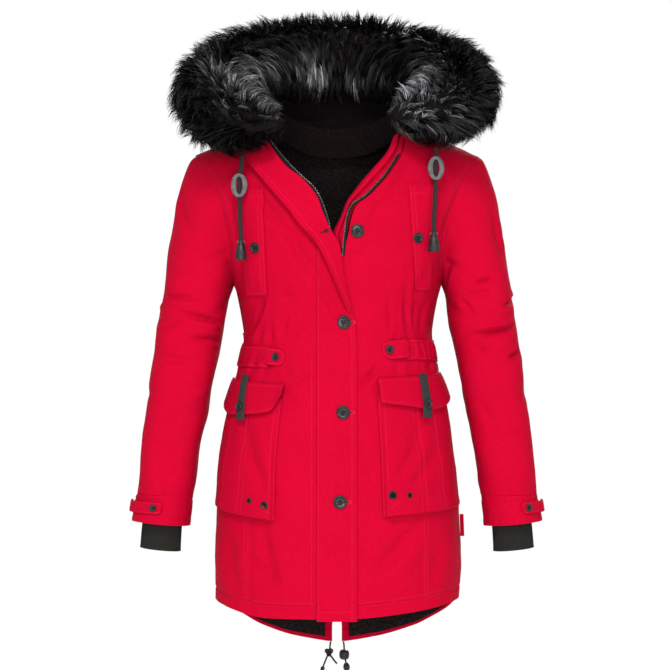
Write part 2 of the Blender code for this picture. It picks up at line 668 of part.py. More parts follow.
def closures():
    """Storm flap, its turned upper part, zip tapes and the left front's turned facing."""
    red = material("red_shell", RED, 0.75)
    tape = material("zip_tape", CORD_DARK, 0.9)
    lower = np.linspace(float(hem_height(FRONT_HEM, 0.0)) - 3.0, BREAK_Z, 12)
    upper = np.array([z for z, _ in FOLD_LINE[1:-1]] + [FLAP_TOP_Z])
    heights = np.concatenate([lower, upper])
    fold = curve_through([p[0] for p in FOLD_LINE], [p[1] for p in FOLD_LINE], heights)
    right = np.where(heights <= BREAK_Z, FLAP_HALF, fold)
    share = np.array([0.0, 0.12, 0.5, 0.88, 1.0])
    x = -FLAP_HALF + (right[:, None] + FLAP_HALF) * share
    z = np.repeat(heights[:, None], len(share), axis=1)
    lay_front("storm_flap", x, z, np.full(x.shape, LIE + 0.5), FLAP, red)
    x, z = strip_grid(TURNED, (0.0, 0.1, 0.4, 0.75, 1.0))
    stand = TURNED_LIFT + np.linspace(0.0, 3.5, 5)[None, :] * np.linspace(0, 1, len(x))[:, None]
    lay_front("storm_flap_turned", x, z, stand, FLAP, red)
    x, z = strip_grid([(z, x + 2.2, z - 3, x - 4.5) for z, x in RIGHT_TEETH], (0.0, 0.5, 1.0))
    lay_front("zip_tape_right", x, z, np.full(x.shape, LIE + 0.9), 0.9, tape)
    x, z = strip_grid([(z + 1, x - 1.5, z - 1, x + 6.0) for z, x in LEFT_TEETH],
                      (0.0, 0.5, 1.0))
    lay_front("zip_tape_left", x, z, np.full(x.shape, LIE + 0.4), 1.2, tape)
    # The facing rolls back into the neck from the front's zip edge.
    x, z = strip_grid(LEFT_FACING, (0.0, 0.25, 0.5, 0.75, 1.0))
    points = front_point(x, z)
    out = analytic_normals(front_point, x, z)
    sink = np.array([11.0, 5.6, 5.0, 4.7, 4.5])
    points = points - out * sink[None, :, None]
    edge = x - curve_through([p[0] for p in LEFT_EDGE], [p[1] for p in LEFT_EDGE], z)
    points[..., 0] -= np.maximum(edge + 0.8, 0.0)
    wall("front_facing", points, points - out * FLAP, red)


CHEST_POCKETS = (("right", -146.0, -107.5, -134.0, -101.0, -93.0, -250.0, -118.0, -180.0),
                 ("left", 103.5, 146.0, 113.8, 136.0, -88.0, -242.0, 116.0, -166.0))


def chest_pockets():
    """A flat patch pocket on each side of the chest."""
    red = material("red_shell", RED, 0.75)
    for side, top_a, top_b, low_a, low_b, top_z, low_z, _, _ in CHEST_POCKETS:
        v = np.linspace(0.0, 1.0, 7)[:, None]
        u = np.linspace(0.0, 1.0, 5)[None, :]
        left = low_a + (top_a - low_a) * v
        right = low_b + (top_b - low_b) * v
        x = left + (right - left) * u
        z = low_z + (top_z - low_z) * v + 0.0 * u
        lay_front("chest_pocket_" + side, x, z, np.full(x.shape, LIE + 0.5), FLAP, red)


# Lower pockets: angles of the inner and outer edges, heights at both edges of the body and
# of the flap, and the strap's angles and heights (degrees, mm).
POCKET_NAMES = ("side", "inner", "outer", "top_in", "top_out", "low_in", "low_out",
                "flap_inner", "flap_outer", "flap_top_in", "flap_top_out", "flap_low_in",
                "flap_low_out", "strap", "strap_foot", "strap_top", "strap_low")
POCKETS = (
    ("right", -25.6, -79.0, -400, -392, -577, -560,
     -25.0, -84.0, -379, -371, -421, -404, -57.0, -49.0, -367, -434),
    ("left", 17.0, 79.0, -392, -385, -571, -559,
     18.0, 84.0, -370, -363, -411, -403, 49.5, 44.0, -365, -430),
)
BELLOWS_TOP = 3.0
BELLOWS_LOW = 11.0
FLAP_STAND = 11.5      # how far a pocket flap's free edge stands off


def edge_rise(share, rim):
    """0 at both ends, 1 inside, rising over a rim share."""
    near = np.minimum(share, 1.0 - share) / rim
    return np.clip(near, 0.0, 1.0)


def pocket_lift(u, v):
    """How far a bellows pocket stands off the body at shares across and up it."""
    depth = (BELLOWS_LOW + (BELLOWS_TOP - BELLOWS_LOW) * v) * (1.0 - 0.8 * u ** 1.5)
    return LIE + depth * edge_rise(u, 0.07) * np.clip(v / 0.05, 0.0, 1.0)


def flap_lift(u, v):
    """How far a pocket flap stands off the body at shares across and up it."""
    return LIE + 0.7 + FLAP_STAND * (1.0 - v) ** 0.75 * (1.0 - 0.55 * u ** 2)


def lower_pockets():
    """Bellows pockets with their flaps, webbing straps and eyelets."""
    red = material("red_shell", RED, 0.75)
    webbing = material("webbing", CORD_DARK, 0.9)
    for row in POCKETS:
        (side, inner, outer, top_in, top_out, low_in, low_out, flap_in, flap_out,
         flap_top_in, flap_top_out, flap_low_in, flap_low_out, strap,
         strap_foot, strap_top, strap_low) = row
        u = np.array([0.0, 0.07, 0.2, 0.35, 0.5, 0.65, 0.8, 0.93, 1.0])[None, :]
        v = np.array([0.0, 0.05, 0.2, 0.4, 0.6, 0.8, 1.0])[:, None]
        angle = inner + (outer - inner) * u + 0.0 * v
        low = low_in + (low_out - low_in) * u
        top = top_in + (top_out - top_in) * u
        z = low + (top - low) * v
        lay_round("lower_pocket_" + side, angle, z, pocket_lift(u, v), FLAP, red)
        u = np.linspace(0.0, 1.0, 9)[None, :]
        v = np.array([0.0, 0.3, 0.6, 0.85, 1.0])[:, None]
        angle = flap_in + (flap_out - flap_in) * u + 0.0 * v
        low = flap_low_in + (flap_low_out - flap_low_in) * u - 5.0 * np.sin(math.pi * u)
        top = flap_top_in + (flap_top_out - flap_top_in) * u
        z = low + (top - low) * v
        lay_round("pocket_flap_" + side, angle, z, flap_lift(u, v), FLAP, red)
        u = np.array([-1.0, 0.0, 1.0])[None, :]
        v = np.linspace(0.0, 1.0, 6)[:, None]
        angle = strap_foot + (strap - strap_foot) * v + 4.4 * u
        z = strap_low + (strap_top - strap_low) * v + 0.0 * u
        share = (angle - flap_in) / (flap_out - flap_in)
        low = flap_low_in + (flap_low_out - flap_low_in) * share - 5.0 * np.sin(math.pi * share)
        top = flap_top_in + (flap_top_out - flap_top_in) * share
        lift = flap_lift(share, np.clip((z - low) / (top - low), 0.0, 1.0)) + FLAP + 0.9
        lay_round("pocket_strap_" + side, angle, z, lift, STRAP, webbing)


# Waist casings: name, start and end angle, height at both ends, number of gathers.
CASINGS = (
    ("waist_casing_right", -42.5, -89.0, -338.0, -336.0, 6),
    ("waist_casing_left", 41.5, 89.0, -328.0, -332.0, 6),
    ("waist_casing_back", 91.0, 269.0, -332.0, -336.0, 16),
)
CASING_HEIGHT = 30.0
# Waist tabs: name, angles of the two ends, heights, button's angle.
TABS = (
    ("waist_tab_right", -27.6, -42.2, -340.0, -338.0, -33.4),
    ("waist_tab_left", 22.6, 41.2, -332.0, -328.5, 27.0),
)


def waist():
    """The gathered waist casing in three lengths and its two button tabs."""
    red = material("red_shell", RED, 0.75)
    for name, start, end, z_start, z_end, gathers in CASINGS:
        columns = 2 * gathers + 1
        u = np.linspace(0.0, 1.0, columns)[None, :]
        v = np.linspace(0.0, 1.0, 3)[:, None]
        angle = start + (end - start) * u + 0.0 * v
        z = z_start + (z_end - z_start) * u + CASING_HEIGHT * (v - 0.5)
        wave = 0.5 - 0.5 * np.cos(2 * math.pi * gathers * u)
        bulge = np.sin(math.pi * np.clip(v, 0.0, 1.0))
        lift = LIE + 1.1 + (0.9 + 2.6 * wave * edge_rise(u, 0.03)) * bulge + 0.0 * u
        lay_round(name, angle, z, lift, FLAP, red)
    for name, start, end, z_start, z_end, _ in TABS:
        u = np.array([0.0, 0.12, 0.5, 1.0])[None, :]
        v = np.array([0.0, 0.5, 1.0])[:, None]
        angle = start + (end - start) * u + 0.0 * v
        point = 8.5 * np.where(u > 0.05, 1.0, 0.62)
        z = z_start + (z_end - z_start) * u + 2 * point * (v - 0.5)
        lay_round(name, angle, z, LIE + 0.0 * z + 3.2 * np.clip(u - 0.2, 0, 1) ** 2, FLAP, red)


# ---------------------------------------------------------------- hardware
def axis_frame(normal):
    """A turn that stands a piece made along +Z onto a surface with this outward direction."""
    return Vector(normal).to_track_quat("Z", "Y").to_matrix().to_4x4()


def button(name, point, normal, radius, height, finish, sides=12):
    """A dished button: a low drum whose face is inset and sunk inside a rim."""
    body = bmesh.new()
    bmesh.ops.create_cone(body, cap_ends=True, segments=sides, radius1=radius * MM,
                          radius2=radius * 0.94 * MM, depth=height * MM)
    face = max(body.faces, key=lambda f: f.calc_center_median().z)
    bmesh.ops.inset_individual(body, faces=[face], thickness=radius * 0.18 * MM)
    bmesh.ops.inset_individual(body, faces=[face], thickness=radius * 0.07 * MM,
                               depth=-height * 0.3 * MM)
    centre = np.asarray(point) + np.asarray(normal) * 0.5 * height
    body.transform(Matrix.Translation(Vector(centre * MM)) @ axis_frame(normal))
    mesh = bpy.data.meshes.new(name)
    body.to_mesh(mesh)
    body.free()
    return place(mesh, name, finish)


def on_front(x, z, lift):
    """A point and outward direction at (x, z) on the front, raised by lift."""
    points = front_point(np.array([[x]]), np.array([[z]]))
    out = analytic_normals(front_point, np.array([[x]]), np.array([[z]]))
    return (with_folds(points, out) + out * lift)[0, 0], out[0, 0]


def on_round(angle, z, lift):
    """A point and outward direction at (angle, z) on the lower body, raised by lift."""
    points = round_point(np.array([[angle]]), np.array([[z]]))
    out = analytic_normals(round_point, np.array([[angle]]), np.array([[z]]))
    return (with_folds(points, out) + out * lift)[0, 0], out[0, 0]


FRONT_BUTTONS = ((10.0, -289.0), (8.6, -420.0), (4.3, -548.0))
OPEN_BUTTON = (29.5, -157.0)
BUTTON_RADIUS = 10.0
SNAP_RADIUS = 6.8


def buttons():
    """Four front buttons, and the small ones on pockets, tabs and straps."""
    finish = material("button_grey", HARDWARE, 0.45)
    for number, (x, z) in enumerate(FRONT_BUTTONS, 2):
        point, out = on_front(x, z, LIE + FLAP + 1.3)
        button("front_button_%d" % number, point, out, BUTTON_RADIUS, 3.4, finish)
    point, out = on_front(*OPEN_BUTTON, 0.5)
    button("front_button_1", point, out, BUTTON_RADIUS, 3.4, finish)
    for side, *_, x, z in CHEST_POCKETS:
        point, out = on_front(x, z, LIE + FLAP + 0.9)
        button("chest_snap_" + side, point, out, SNAP_RADIUS, 2.6, finish, 10)
    for name, _, _, _, z_end, angle in TABS:
        point, out = on_round(angle, z_end - 0.7, LIE + FLAP + 0.5)
        button(name.replace("tab", "button"), point, out, 6.2, 2.6, finish, 10)


def eyelet(name, point, normal, outer, inner, finish):
    """A small rolled ring."""
    bpy.ops.mesh.primitive_torus_add(major_segments=12, minor_segments=4,
                                     major_radius=0.5 * (outer + inner) * MM,
                                     minor_radius=0.5 * (outer - inner) * MM)
    made = bpy.context.active_object
    mesh = made.data
    bpy.data.objects.remove(made, do_unlink=True)
    turned = Matrix.Translation(Vector(np.asarray(point) * MM)) @ axis_frame(normal)
    mesh.transform(turned)
    mesh.name = name
    return place(mesh, name, finish)


# Eyelets: name, pocket row, angle, height, outer radius, clearance (mm).
EYELETS = (
    ("eyelet_right_small", 0, -38.4, -548.0, 4.2, 0.5),
    ("eyelet_right_large", 0, -29.6, -554.5, 6.4, 0.7),
    ("eyelet_left_large", 1, 21.0, -539.0, 6.4, 1.2),
    ("eyelet_left_small", 1, 29.6, -539.5, 4.2, 0.5),
)


def pocket_hardware():
    """Eyelets at the foot of the lower pockets and the button on each strap."""
    metal = material("eyelet_metal", METAL_GREY, 0.4, 0.8)
    finish = material("button_grey", HARDWARE, 0.45)
    for name, pocket, angle, z, radius, clear in EYELETS:
        row = POCKETS[pocket]
        low = row[POCKET_NAMES.index("low_in")]
        top = row[POCKET_NAMES.index("top_in")]
        inner, outer = row[POCKET_NAMES.index("inner")], row[POCKET_NAMES.index("outer")]
        share = (angle - inner) / (outer - inner)
        lift = float(pocket_lift(np.array(share), np.array((z - low) / (top - low))))
        thick = 0.36 * radius
        point, out = on_round(angle, z, lift + FLAP + clear + 0.5 * thick)
        eyelet(name, point, out, radius, radius - thick, metal)
    for row, z, angle in zip(POCKETS, (-416.0, -409.5), (-51.1, 46.2)):
        point, out = on_round(angle, z, LIE + FLAP_STAND + FLAP + 2.2)
        button("strap_button_" + row[0], point, out, 5.4, 2.4, finish, 10)


def cuff_tabs():
    """A strap round the outer front of each cuff, with its snap."""
    red = material("red_shell", RED, 0.75)
    finish = material("button_grey", HARDWARE, 0.45)
    for sign, side in ((-1, "right"), (1, "left")):
        first = 88.0 if side == "right" else 106.0
        turn = np.radians(np.linspace(first, 196.0, 8))
        rows = []
        for rise in (-9.5, 0.0, 9.5):
            z = -563.0 + rise
            share = (SLEEVE_END_Z - z) / (SLEEVE_END_Z - CUFF_END_Z)
            outer = float(column(SLEEVE, SLEEVE_NAMES, "outer", z)) + 2.6
            inner = float(column(SLEEVE, SLEEVE_NAMES, "inner", z)) - 2.6
            half = float(column(SLEEVE, SLEEVE_NAMES, "half", z)) + 2.6
            middle = float(column(SLEEVE, SLEEVE_NAMES, "y", z))
            x = 0.5 * (outer + inner) - 0.5 * (outer - inner) * np.cos(turn)
            y = middle - half * np.sin(turn)
            height = np.full(len(turn), z) + 5.0 * share * 0.5 * (1 - np.cos(turn))
            rows.append(np.stack([sign * x, y, height], axis=-1))
        points = np.array(rows)
        out = grid_normals(points)
        if out[1, 3, 0] * sign < 0:
            out = -out
        stand = LIE + np.clip(np.linspace(-2.0, 3.4, len(turn)), 0.0, 3.4)
        base = points + out * stand[None, :, None]
        wall("cuff_tab_" + side, base + out * FLAP, base, red)
        seat = 0.5 * (base[1, 1] + base[1, 2]) + out[1, 1] * (FLAP + 1.3)
        button("cuff_snap_" + side, seat, out[1, 1], 5.6, 2.4, finish, 10)


# ---------------------------------------------------------------- fur and hood
# Fur ring: angle round the face opening (0 at the top), distance from its middle, lift
# towards the front, radius across and along the lift, and how far it hangs down and forward.
FUR_NAMES = ("angle", "reach", "lift", "wide", "deep", "drop", "fore")
FUR = (
    (-146, 146, 20, 15, 13, 12, 16),
    (-142, 150, 21, 33, 29, 15, 18),
    (-134, 160, 24, 53, 46, 20, 20),
    (-122, 176, 30, 73, 60, 24, 22),
    (-105, 180, 31, 77, 64, 16, 12),
    (-86, 168, 22, 77, 66, 3, 3),
    (-62, 150, 9, 77, 71, 0, 0),
    (-32, 132, 3, 74, 71, 0, 0),
    (0, 126, 0, 72, 70, 0, 0),
    (32, 130, 2, 72, 70, 0, 0),
    (62, 148, 9, 75, 69, 0, 0),
    (86, 168, 22, 75, 65, 2, 2),
    (105, 179, 30, 76, 64, 12, 9),
    (122, 173, 31, 71, 60, 16, 18),
    (134, 157, 28, 53, 46, 9, 16),
    (142, 148, 26, 33, 29, 4, 13),
    (146, 144, 25, 15, 13, 4, 12),
)
FACE_MIDDLE = np.array([0.0, -5.0, 55.0])
FACE_UP = np.array([0.0, 0.84, 0.5426])
FACE_OUT = np.array([0.0, -0.5426, 0.84])
FACE_SIDE = np.array([1.0, 0.0, 0.0])


def fur_point(angle, turn, shrink=0.0):
    """A point of the fur's surface at an angle round the opening and round its section."""
    angle, turn = np.broadcast_arrays(np.asarray(angle, float), np.asarray(turn, float))
    reach = column(FUR, FUR_NAMES, "reach", angle)
    lift = column(FUR, FUR_NAMES, "lift", angle)
    wide = column(FUR, FUR_NAMES, "wide", angle) - shrink
    deep = column(FUR, FUR_NAMES, "deep", angle) - shrink
    sweep = np.radians(angle)[..., None]
    away = np.sin(sweep) * FACE_SIDE + np.cos(sweep) * FACE_UP
    spin = np.radians(turn)
    radial = (reach + wide * np.cos(spin))[..., None]
    hang = np.stack([np.zeros(angle.shape), -column(FUR, FUR_NAMES, "fore", angle),
                     -column(FUR, FUR_NAMES, "drop", angle)], axis=-1)
    rise = (lift + deep * np.sin(spin))[..., None]
    return FACE_MIDDLE + away * radial + FACE_OUT * rise + hang


def tufts(angle, turn):
    """How far the fur's tufted surface lies inside its full round."""
    return (3.0 + 1.6 * np.sin(np.radians(5.0 * turn + 11.0 * angle))
            + 1.4 * np.sin(np.radians(3.0 * turn - 17.0 * angle)))


def fur_trim():
    """The fur as one tufted horseshoe, closed at its two ends."""
    angles = np.concatenate([[-146, -142, -136], np.linspace(-128, 128, 27), [136, 142, 146]])
    around = 16
    turns = np.linspace(0.0, 360.0, around, endpoint=False)
    grid_angle, grid_turn = np.meshgrid(angles, turns, indexing="ij")
    points = fur_point(grid_angle, grid_turn, shrink=tufts(grid_angle, grid_turn))
    ends = [points[0].mean(axis=0), points[-1].mean(axis=0)]
    rows = len(angles)
    vertices = points.reshape(-1, 3).tolist() + [ends[0].tolist(), ends[1].tolist()]
    faces = []
    for r in range(rows - 1):
        for c in range(around):
            d = (c + 1) % around
            faces.append((r * around + c, r * around + d, (r + 1) * around + d,
                          (r + 1) * around + c))
    for c in range(around):
        d = (c + 1) % around
        faces.append((rows * around, d, c))
        last = (rows - 1) * around
        faces.append((rows * around + 1, last + c, last + d))
    mesh = bpy.data.meshes.new("fur_trim")
    mesh.from_pydata([tuple(v * MM for v in p) for p in vertices], [], faces)
    body = bmesh.new()
    body.from_mesh(mesh)
    bmesh.ops.recalc_face_normals(body, faces=body.faces[:])
    body.to_mesh(mesh)
    body.free()
    mesh.shade_smooth()
    return place(mesh, "fur_trim", material("black_fur", FUR_BLACK, 0.9))


HOOD_END = 118.0       # angle of the hood's two front ends
# Neck seam under the hood: angle round the opening against place (mm).
SEAM_NAMES = ("angle", "x", "y", "z")
NECK_SEAM = (
    (-136, -103.0, -64.0, -6.0),
    (-118, -99.0, -36.0, 10.0),
    (-98, -91.0, 0.0, 18.0),
    (-70, -76.0, 38.0, 12.0),
    (-35, -44.0, 71.0, 2.0),
    (0, 0.0, 82.0, -1.0),
    (35, 44.0, 71.0, 2.0),
    (70, 76.0, 38.0, 12.0),
    (98, 91.0, 0.0, 17.0),
    (118, 98.0, -34.0, 6.0),
    (136, 103.0, -60.0, -2.0),
)


def bezier(start, first, second, end, share):
    """Points of a cubic Bezier between grids of points, at shares along it."""
    s = share[:, None, None]
    return ((1 - s) ** 3 * start + 3 * s * (1 - s) ** 2 * first
            + 3 * s * s * (1 - s) * second + s ** 3 * end)


def hood():
    """The hood's red shell and its plush lining, from the neck seam to the fur."""
    angles = np.linspace(-HOOD_END, HOOD_END, 21)
    turn = np.abs(angles) / HOOD_END
    neck = np.stack([column(NECK_SEAM, SEAM_NAMES, axis, angles) for axis in "xyz"], axis=-1)
    sweep = np.radians(angles)[:, None]
    away = unit(np.sin(sweep) * FACE_SIDE * 1.1 + np.cos(sweep) * np.array([0.0, 1.0, 0.0]))
    back = np.clip(np.cos(0.5 * np.pi * turn ** 1.3), 0.0, 1.0)[:, None]
    down = np.array([0.0, 0.0, -1.0])
    shell_turn = -52.0 - 60.0 * turn ** 1.4
    rim = fur_point(angles, shell_turn, shrink=tufts(angles, shell_turn) - 2.7 - 3.2 * turn ** 2)
    start = neck + np.array([0.0, 0.0, -2.6])
    drop = back ** 2
    first = start + away * (22.0 + 50.0 * back) + down * (1.0 + 51.0 * drop)
    second = rim + away * (2.0 + 44.0 * back) + down * (92.0 * drop + 6.0)
    share = np.linspace(0.0, 1.0, 8)
    outer = bezier(start, first, second, rim, share)
    out = grid_normals(outer)
    if out[4, 10, 1] < 0:
        out = -out
    cloth("hood_shell", outer, out, 2.2, material("red_shell", RED, 0.75))
    lining_turn = -128.0 - 30.0 * turn ** 2
    rim = fur_point(angles, lining_turn, shrink=tufts(angles, lining_turn) - 3.4)
    inward = unit(neck * np.array([-1.0, -1.0, 0.0]))
    start = neck + inward * 6.5 + np.array([0.0, 0.0, 7.5])
    first = start + away * (6.0 + 46.0 * back) + down * (-4.0 + 16.0 * back)
    second = rim + away * (-8.0 + 72.0 * back) + down * (8.0 + 12.0 * back)
    inner = bezier(start, first, second, rim, share)
    out = grid_normals(inner)
    if out[4, 10, 1] < 0:
        out = -out
    cloth("hood_lining", inner, out, LINING, material("black_plush", PLUSH_BLACK, 0.95))


# ---------------------------------------------------------------- cords
def turned(name, profile, point, direction, finish, steps=10):
    """A turned piece: a profile of (radius, distance down) round a line through a point."""
    mesh = bpy.data.meshes.new(name)
    spots = [(radius * MM, 0.0, -down * MM) for radius, down in profile]
    mesh.from_pydata(spots, [(i, i + 1) for i in range(len(spots) - 1)], [])
    item = place(mesh, name, finish)
    screw = item.modifiers.new("turn", "SCREW")
    screw.axis = "Z"
    screw.steps = steps
    screw.render_steps = steps
    screw.use_merge_vertices = True
    screw.merge_threshold = 0.00005
    aim = Vector(direction) * -1.0
    item.matrix_world = (Matrix.Translation(Vector(np.asarray(point) * MM))
                         @ aim.to_track_quat("Z", "Y").to_matrix().to_4x4())
    return item


def smooth_route(points, spacing):
    """Points at an even spacing along a smooth curve through a route's points."""
    spots = np.asarray(points, float)
    gaps = np.linalg.norm(np.diff(spots, axis=0), axis=1)
    along = np.concatenate([[0.0], np.cumsum(gaps)])
    count = max(int(round(along[-1] / spacing)), 3)
    at = np.linspace(0.0, along[-1], count + 1)
    return np.stack([curve_through(along, spots[:, axis], at) for axis in range(3)], axis=-1)


def cord(name, route, radius, finish, resolution=2, spacing=10.0):
    """A cord: a tube along a smooth curve through the points of its route."""
    curve = bpy.data.curves.new(name, "CURVE")
    curve.dimensions = "3D"
    curve.bevel_depth = radius * MM
    curve.bevel_resolution = resolution
    curve.use_fill_caps = True
    spots = smooth_route(route, spacing)
    spline = curve.splines.new("POLY")
    spline.points.add(len(spots) - 1)
    for spot, place_at in zip(spline.points, spots):
        spot.co = (*(place_at * MM), 1.0)
    curve.materials.append(finish)
    item = bpy.data.objects.new(name, curve)
    bpy.data.collections["hooded_winter_parka"].objects.link(item)
    return item


HOOD_CORD_RADIUS = 3.2
HEM_CORD_RADIUS = 1.3
# Routes of the cords, point by point from where they leave the jacket (mm).
HOOD_CORD_RIGHT = ((-138, -100, -45.8), (-138.6, -100.2, -54), (-140, -101, -66),
                   (-142, -101, -82), (-142, -103, -100), (-141, -106, -120),
                   (-141, -108, -140), (-140, -110, -158), (-139.5, -111, -172))
HOOD_CORD_LEFT = ((145, -96, -34.4), (145, -96.2, -42), (145, -97, -50), (144, -98, -64),
                  (144, -101, -82), (143, -104, -100), (142, -107, -120), (141, -109, -142),
                  (140.7, -110, -160))
HEM_CORD_RIGHT = ((-10.0, 163.8, -788.5), (-10.6, 163, -793), (-11.2, 162.5, -799))
HEM_CORD_LEFT = ((10.2, 163.8, -788.5), (11.0, 163, -794), (11.3, 162.5, -800))

BELL = ((0.0, 0.0), (4.6, 0.0), (5.0, 4.0), (6.4, 6.0), (8.6, 20.0), (8.8, 25.0), (7.4, 26.0),
        (0.0, 26.0))
KNOT = ((0.0, 0.0), (3.2, 0.6), (5.6, 4.0), (5.6, 8.0), (3.0, 11.5), (1.5, 12.5), (1.5, 24.0),
        (3.4, 25.0), (3.8, 36.0), (0.0, 37.0))
TOGGLE = ((0.0, 0.0), (5.2, 0.4), (7.4, 3.0), (8.0, 8.0), (7.4, 13.0), (4.6, 15.6), (1.6, 16.0),
          (1.6, 19.0), (5.4, 21.0), (6.2, 27.0), (4.6, 34.0), (0.0, 35.5))
STOPS = (("right", (-142.4, -108.2, -90.0)), ("left", (144.2, -104.4, -64.5)))


def oval_stop(name, centre, finish):
    """An oval plate with a long slot, lying on its cord."""
    curve = bpy.data.curves.new(name, "CURVE")
    curve.dimensions = "2D"
    curve.fill_mode = "BOTH"
    curve.extrude = 1.3 * MM
    for half_wide, half_tall, count in ((12.0, 18.0, 16), (4.4, 12.6, 12)):
        spline = curve.splines.new("POLY")
        spline.points.add(count - 1)
        for step, spot in enumerate(spline.points):
            turn = 2 * math.pi * step / count
            spot.co = (half_wide * math.cos(turn) * MM, half_tall * math.sin(turn) * MM, 0.0, 1.0)
        spline.use_cyclic_u = True
    curve.materials.append(finish)
    item = bpy.data.objects.new(name, curve)
    lean = math.radians(90.0 - 8.0)
    item.matrix_world = Matrix.Translation(Vector(centre) * MM) @ Matrix.Rotation(lean, 4, "X")
    bpy.data.collections["hooded_winter_parka"].objects.link(item)
    return item


def cords():
    """Hood cords with their stops and ends, and the two cords at the split hem."""
    dark = material("cord_dark", CORD_DARK, 0.9)
    hard = material("button_grey", HARDWARE, 0.45)
    for side, route in (("right", HOOD_CORD_RIGHT), ("left", HOOD_CORD_LEFT)):
        cord("hood_cord_" + side, route, HOOD_CORD_RADIUS, dark)
        end = np.array(route[-1]) + np.array([0.0, 0.0, -SEAM])
        turned("cord_end_" + side, BELL, end, (0.0, 0.0, -1.0), hard)
    for side, centre in STOPS:
        oval_stop("cord_stop_" + side, centre, hard)
    for side, route, profile, name in (("right", HEM_CORD_RIGHT, KNOT, "hem_knot_right"),
                                       ("left", HEM_CORD_LEFT, TOGGLE, "hem_toggle_left")):
        cord("hem_cord_" + side, route, HEM_CORD_RADIUS, dark, spacing=3.0)
        end = np.array(route[-1]) + np.array([0.0, 0.0, -SEAM])
        turned(name, profile, end, (0.12 if side == "left" else -0.35, 0.0, -1.0), hard, 10)


def side_label():
    """A small bare tab let into the left side seam."""
    z = np.array([-609.0, -592.0, -576.0])[:, None]
    u = np.array([0.0, 0.5, 1.0])[None, :]
    x = column(BODY, BODY_NAMES, "right", z) + 0.5 + 6.0 * u
    points = np.stack([x, -0.6 + 0.0 * x, z + 0.0 * x], axis=-1)
    out = np.broadcast_to(np.array([0.0, -1.0, 0.0]), points.shape)
    cloth("side_label", points, out, 1.2, material("red_shell", RED, 0.75))


def build():
    """Make the whole jacket."""
    clear_scene()
    collection = bpy.data.collections.new("hooded_winter_parka")
    bpy.context.scene.collection.children.link(collection)
    armholes = body_panels()
    for sign, side in ((-1, "right"), (1, "left")):
        sleeve(sign, "sleeve_" + side, armholes[sign])
        cuff(sign, side)
    closures()
    chest_pockets()
    lower_pockets()
    waist()
    buttons()
    pocket_hardware()
    cuff_tabs()
    fur_trim()
    hood()
    cords()
    side_label()


build()
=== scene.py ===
# %% [markdown]
# # A hooded winter parka with a deep fur trim
# This file dresses a plain model of a padded parka. The model gives each piece's place and
# size; here every piece gets its real surface: creased cotton, topstitching, plush, knit,
# fur, buttons and a zip. It is written to be read from top to bottom, one step to a cell.
# Lengths in the tables are millimetres; they become metres where a mesh is made.

# %% The frame
import json
import math

import bpy
import numpy as np
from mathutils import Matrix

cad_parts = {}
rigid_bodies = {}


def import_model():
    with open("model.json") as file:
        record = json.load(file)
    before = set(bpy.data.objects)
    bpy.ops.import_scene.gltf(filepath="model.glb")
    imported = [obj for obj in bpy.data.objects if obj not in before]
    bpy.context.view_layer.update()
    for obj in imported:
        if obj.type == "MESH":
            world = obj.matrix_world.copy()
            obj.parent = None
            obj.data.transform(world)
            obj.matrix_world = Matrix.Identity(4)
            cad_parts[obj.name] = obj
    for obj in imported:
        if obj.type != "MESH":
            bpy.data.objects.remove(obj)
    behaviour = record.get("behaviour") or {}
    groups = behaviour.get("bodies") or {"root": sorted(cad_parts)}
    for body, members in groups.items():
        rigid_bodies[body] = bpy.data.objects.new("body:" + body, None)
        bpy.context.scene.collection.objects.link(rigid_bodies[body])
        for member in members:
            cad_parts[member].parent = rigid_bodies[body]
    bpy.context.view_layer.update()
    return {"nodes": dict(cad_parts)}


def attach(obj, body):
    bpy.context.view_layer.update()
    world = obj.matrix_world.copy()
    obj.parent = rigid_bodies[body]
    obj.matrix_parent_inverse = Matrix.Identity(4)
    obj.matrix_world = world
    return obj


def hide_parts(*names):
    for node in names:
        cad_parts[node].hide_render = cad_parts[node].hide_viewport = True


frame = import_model()
MM = 0.001
print("pieces in the frame:", len(frame["nodes"]))

# %% [markdown]
# ## Camera, light and floor
# The jacket is looked at straight from the front, from its middle height, through a long
# lens that keeps its sides nearly parallel. The light is what a small studio has: a pale
# room, one wide soft lamp above the camera and a weaker one on either side. The floor lies
# where a wearer's feet would be.

# %% Camera, lamps and floor
camera_data = bpy.data.cameras.new("camera")
camera_data.lens = 125.0
camera_data.sensor_width = 36.0
camera = bpy.data.objects.new("camera", camera_data)
camera.location = (-0.0015, -3.5, -0.3075)
camera.rotation_euler = (math.radians(90.0), 0.0, 0.0)
bpy.context.collection.objects.link(camera)
bpy.context.scene.camera = camera
bpy.context.scene.view_settings.view_transform = "Standard"

LAMPS = (
    # name, place, size, power
    ("key", (-0.3, -2.6, 1.8), 0.7, 88.0),
    ("low", (0.3, -3.1, -0.9), 1.2, 46.0),
    ("front left", (-1.2, -3.2, 0.2), 0.9, 37.0),
    ("front right", (1.2, -3.2, 0.2), 0.9, 34.0),
    ("back", (0.6, 2.6, 1.2), 1.6, 110.0),
)
for name, spot, size, power in LAMPS:
    data = bpy.data.lights.new(name, "AREA")
    data.shape = "DISK"
    data.size = size
    data.energy = power
    lamp = bpy.data.objects.new(name, data)
    lamp.location = spot
    aim = np.array([0.0, 0.0, -0.3]) - np.array(spot)
    lamp.rotation_euler = (math.acos(-aim[2] / np.linalg.norm(aim)), 0.0,
                           math.atan2(aim[1], aim[0]) - math.pi / 2)
    bpy.context.collection.objects.link(lamp)
world = bpy.data.worlds.new("studio")
world.use_nodes = True
world.node_tree.nodes["Background"].inputs["Color"].default_value = (1.0, 1.0, 1.0, 1.0)
world.node_tree.nodes["Background"].inputs["Strength"].default_value = 1.0
bpy.context.scene.world = world

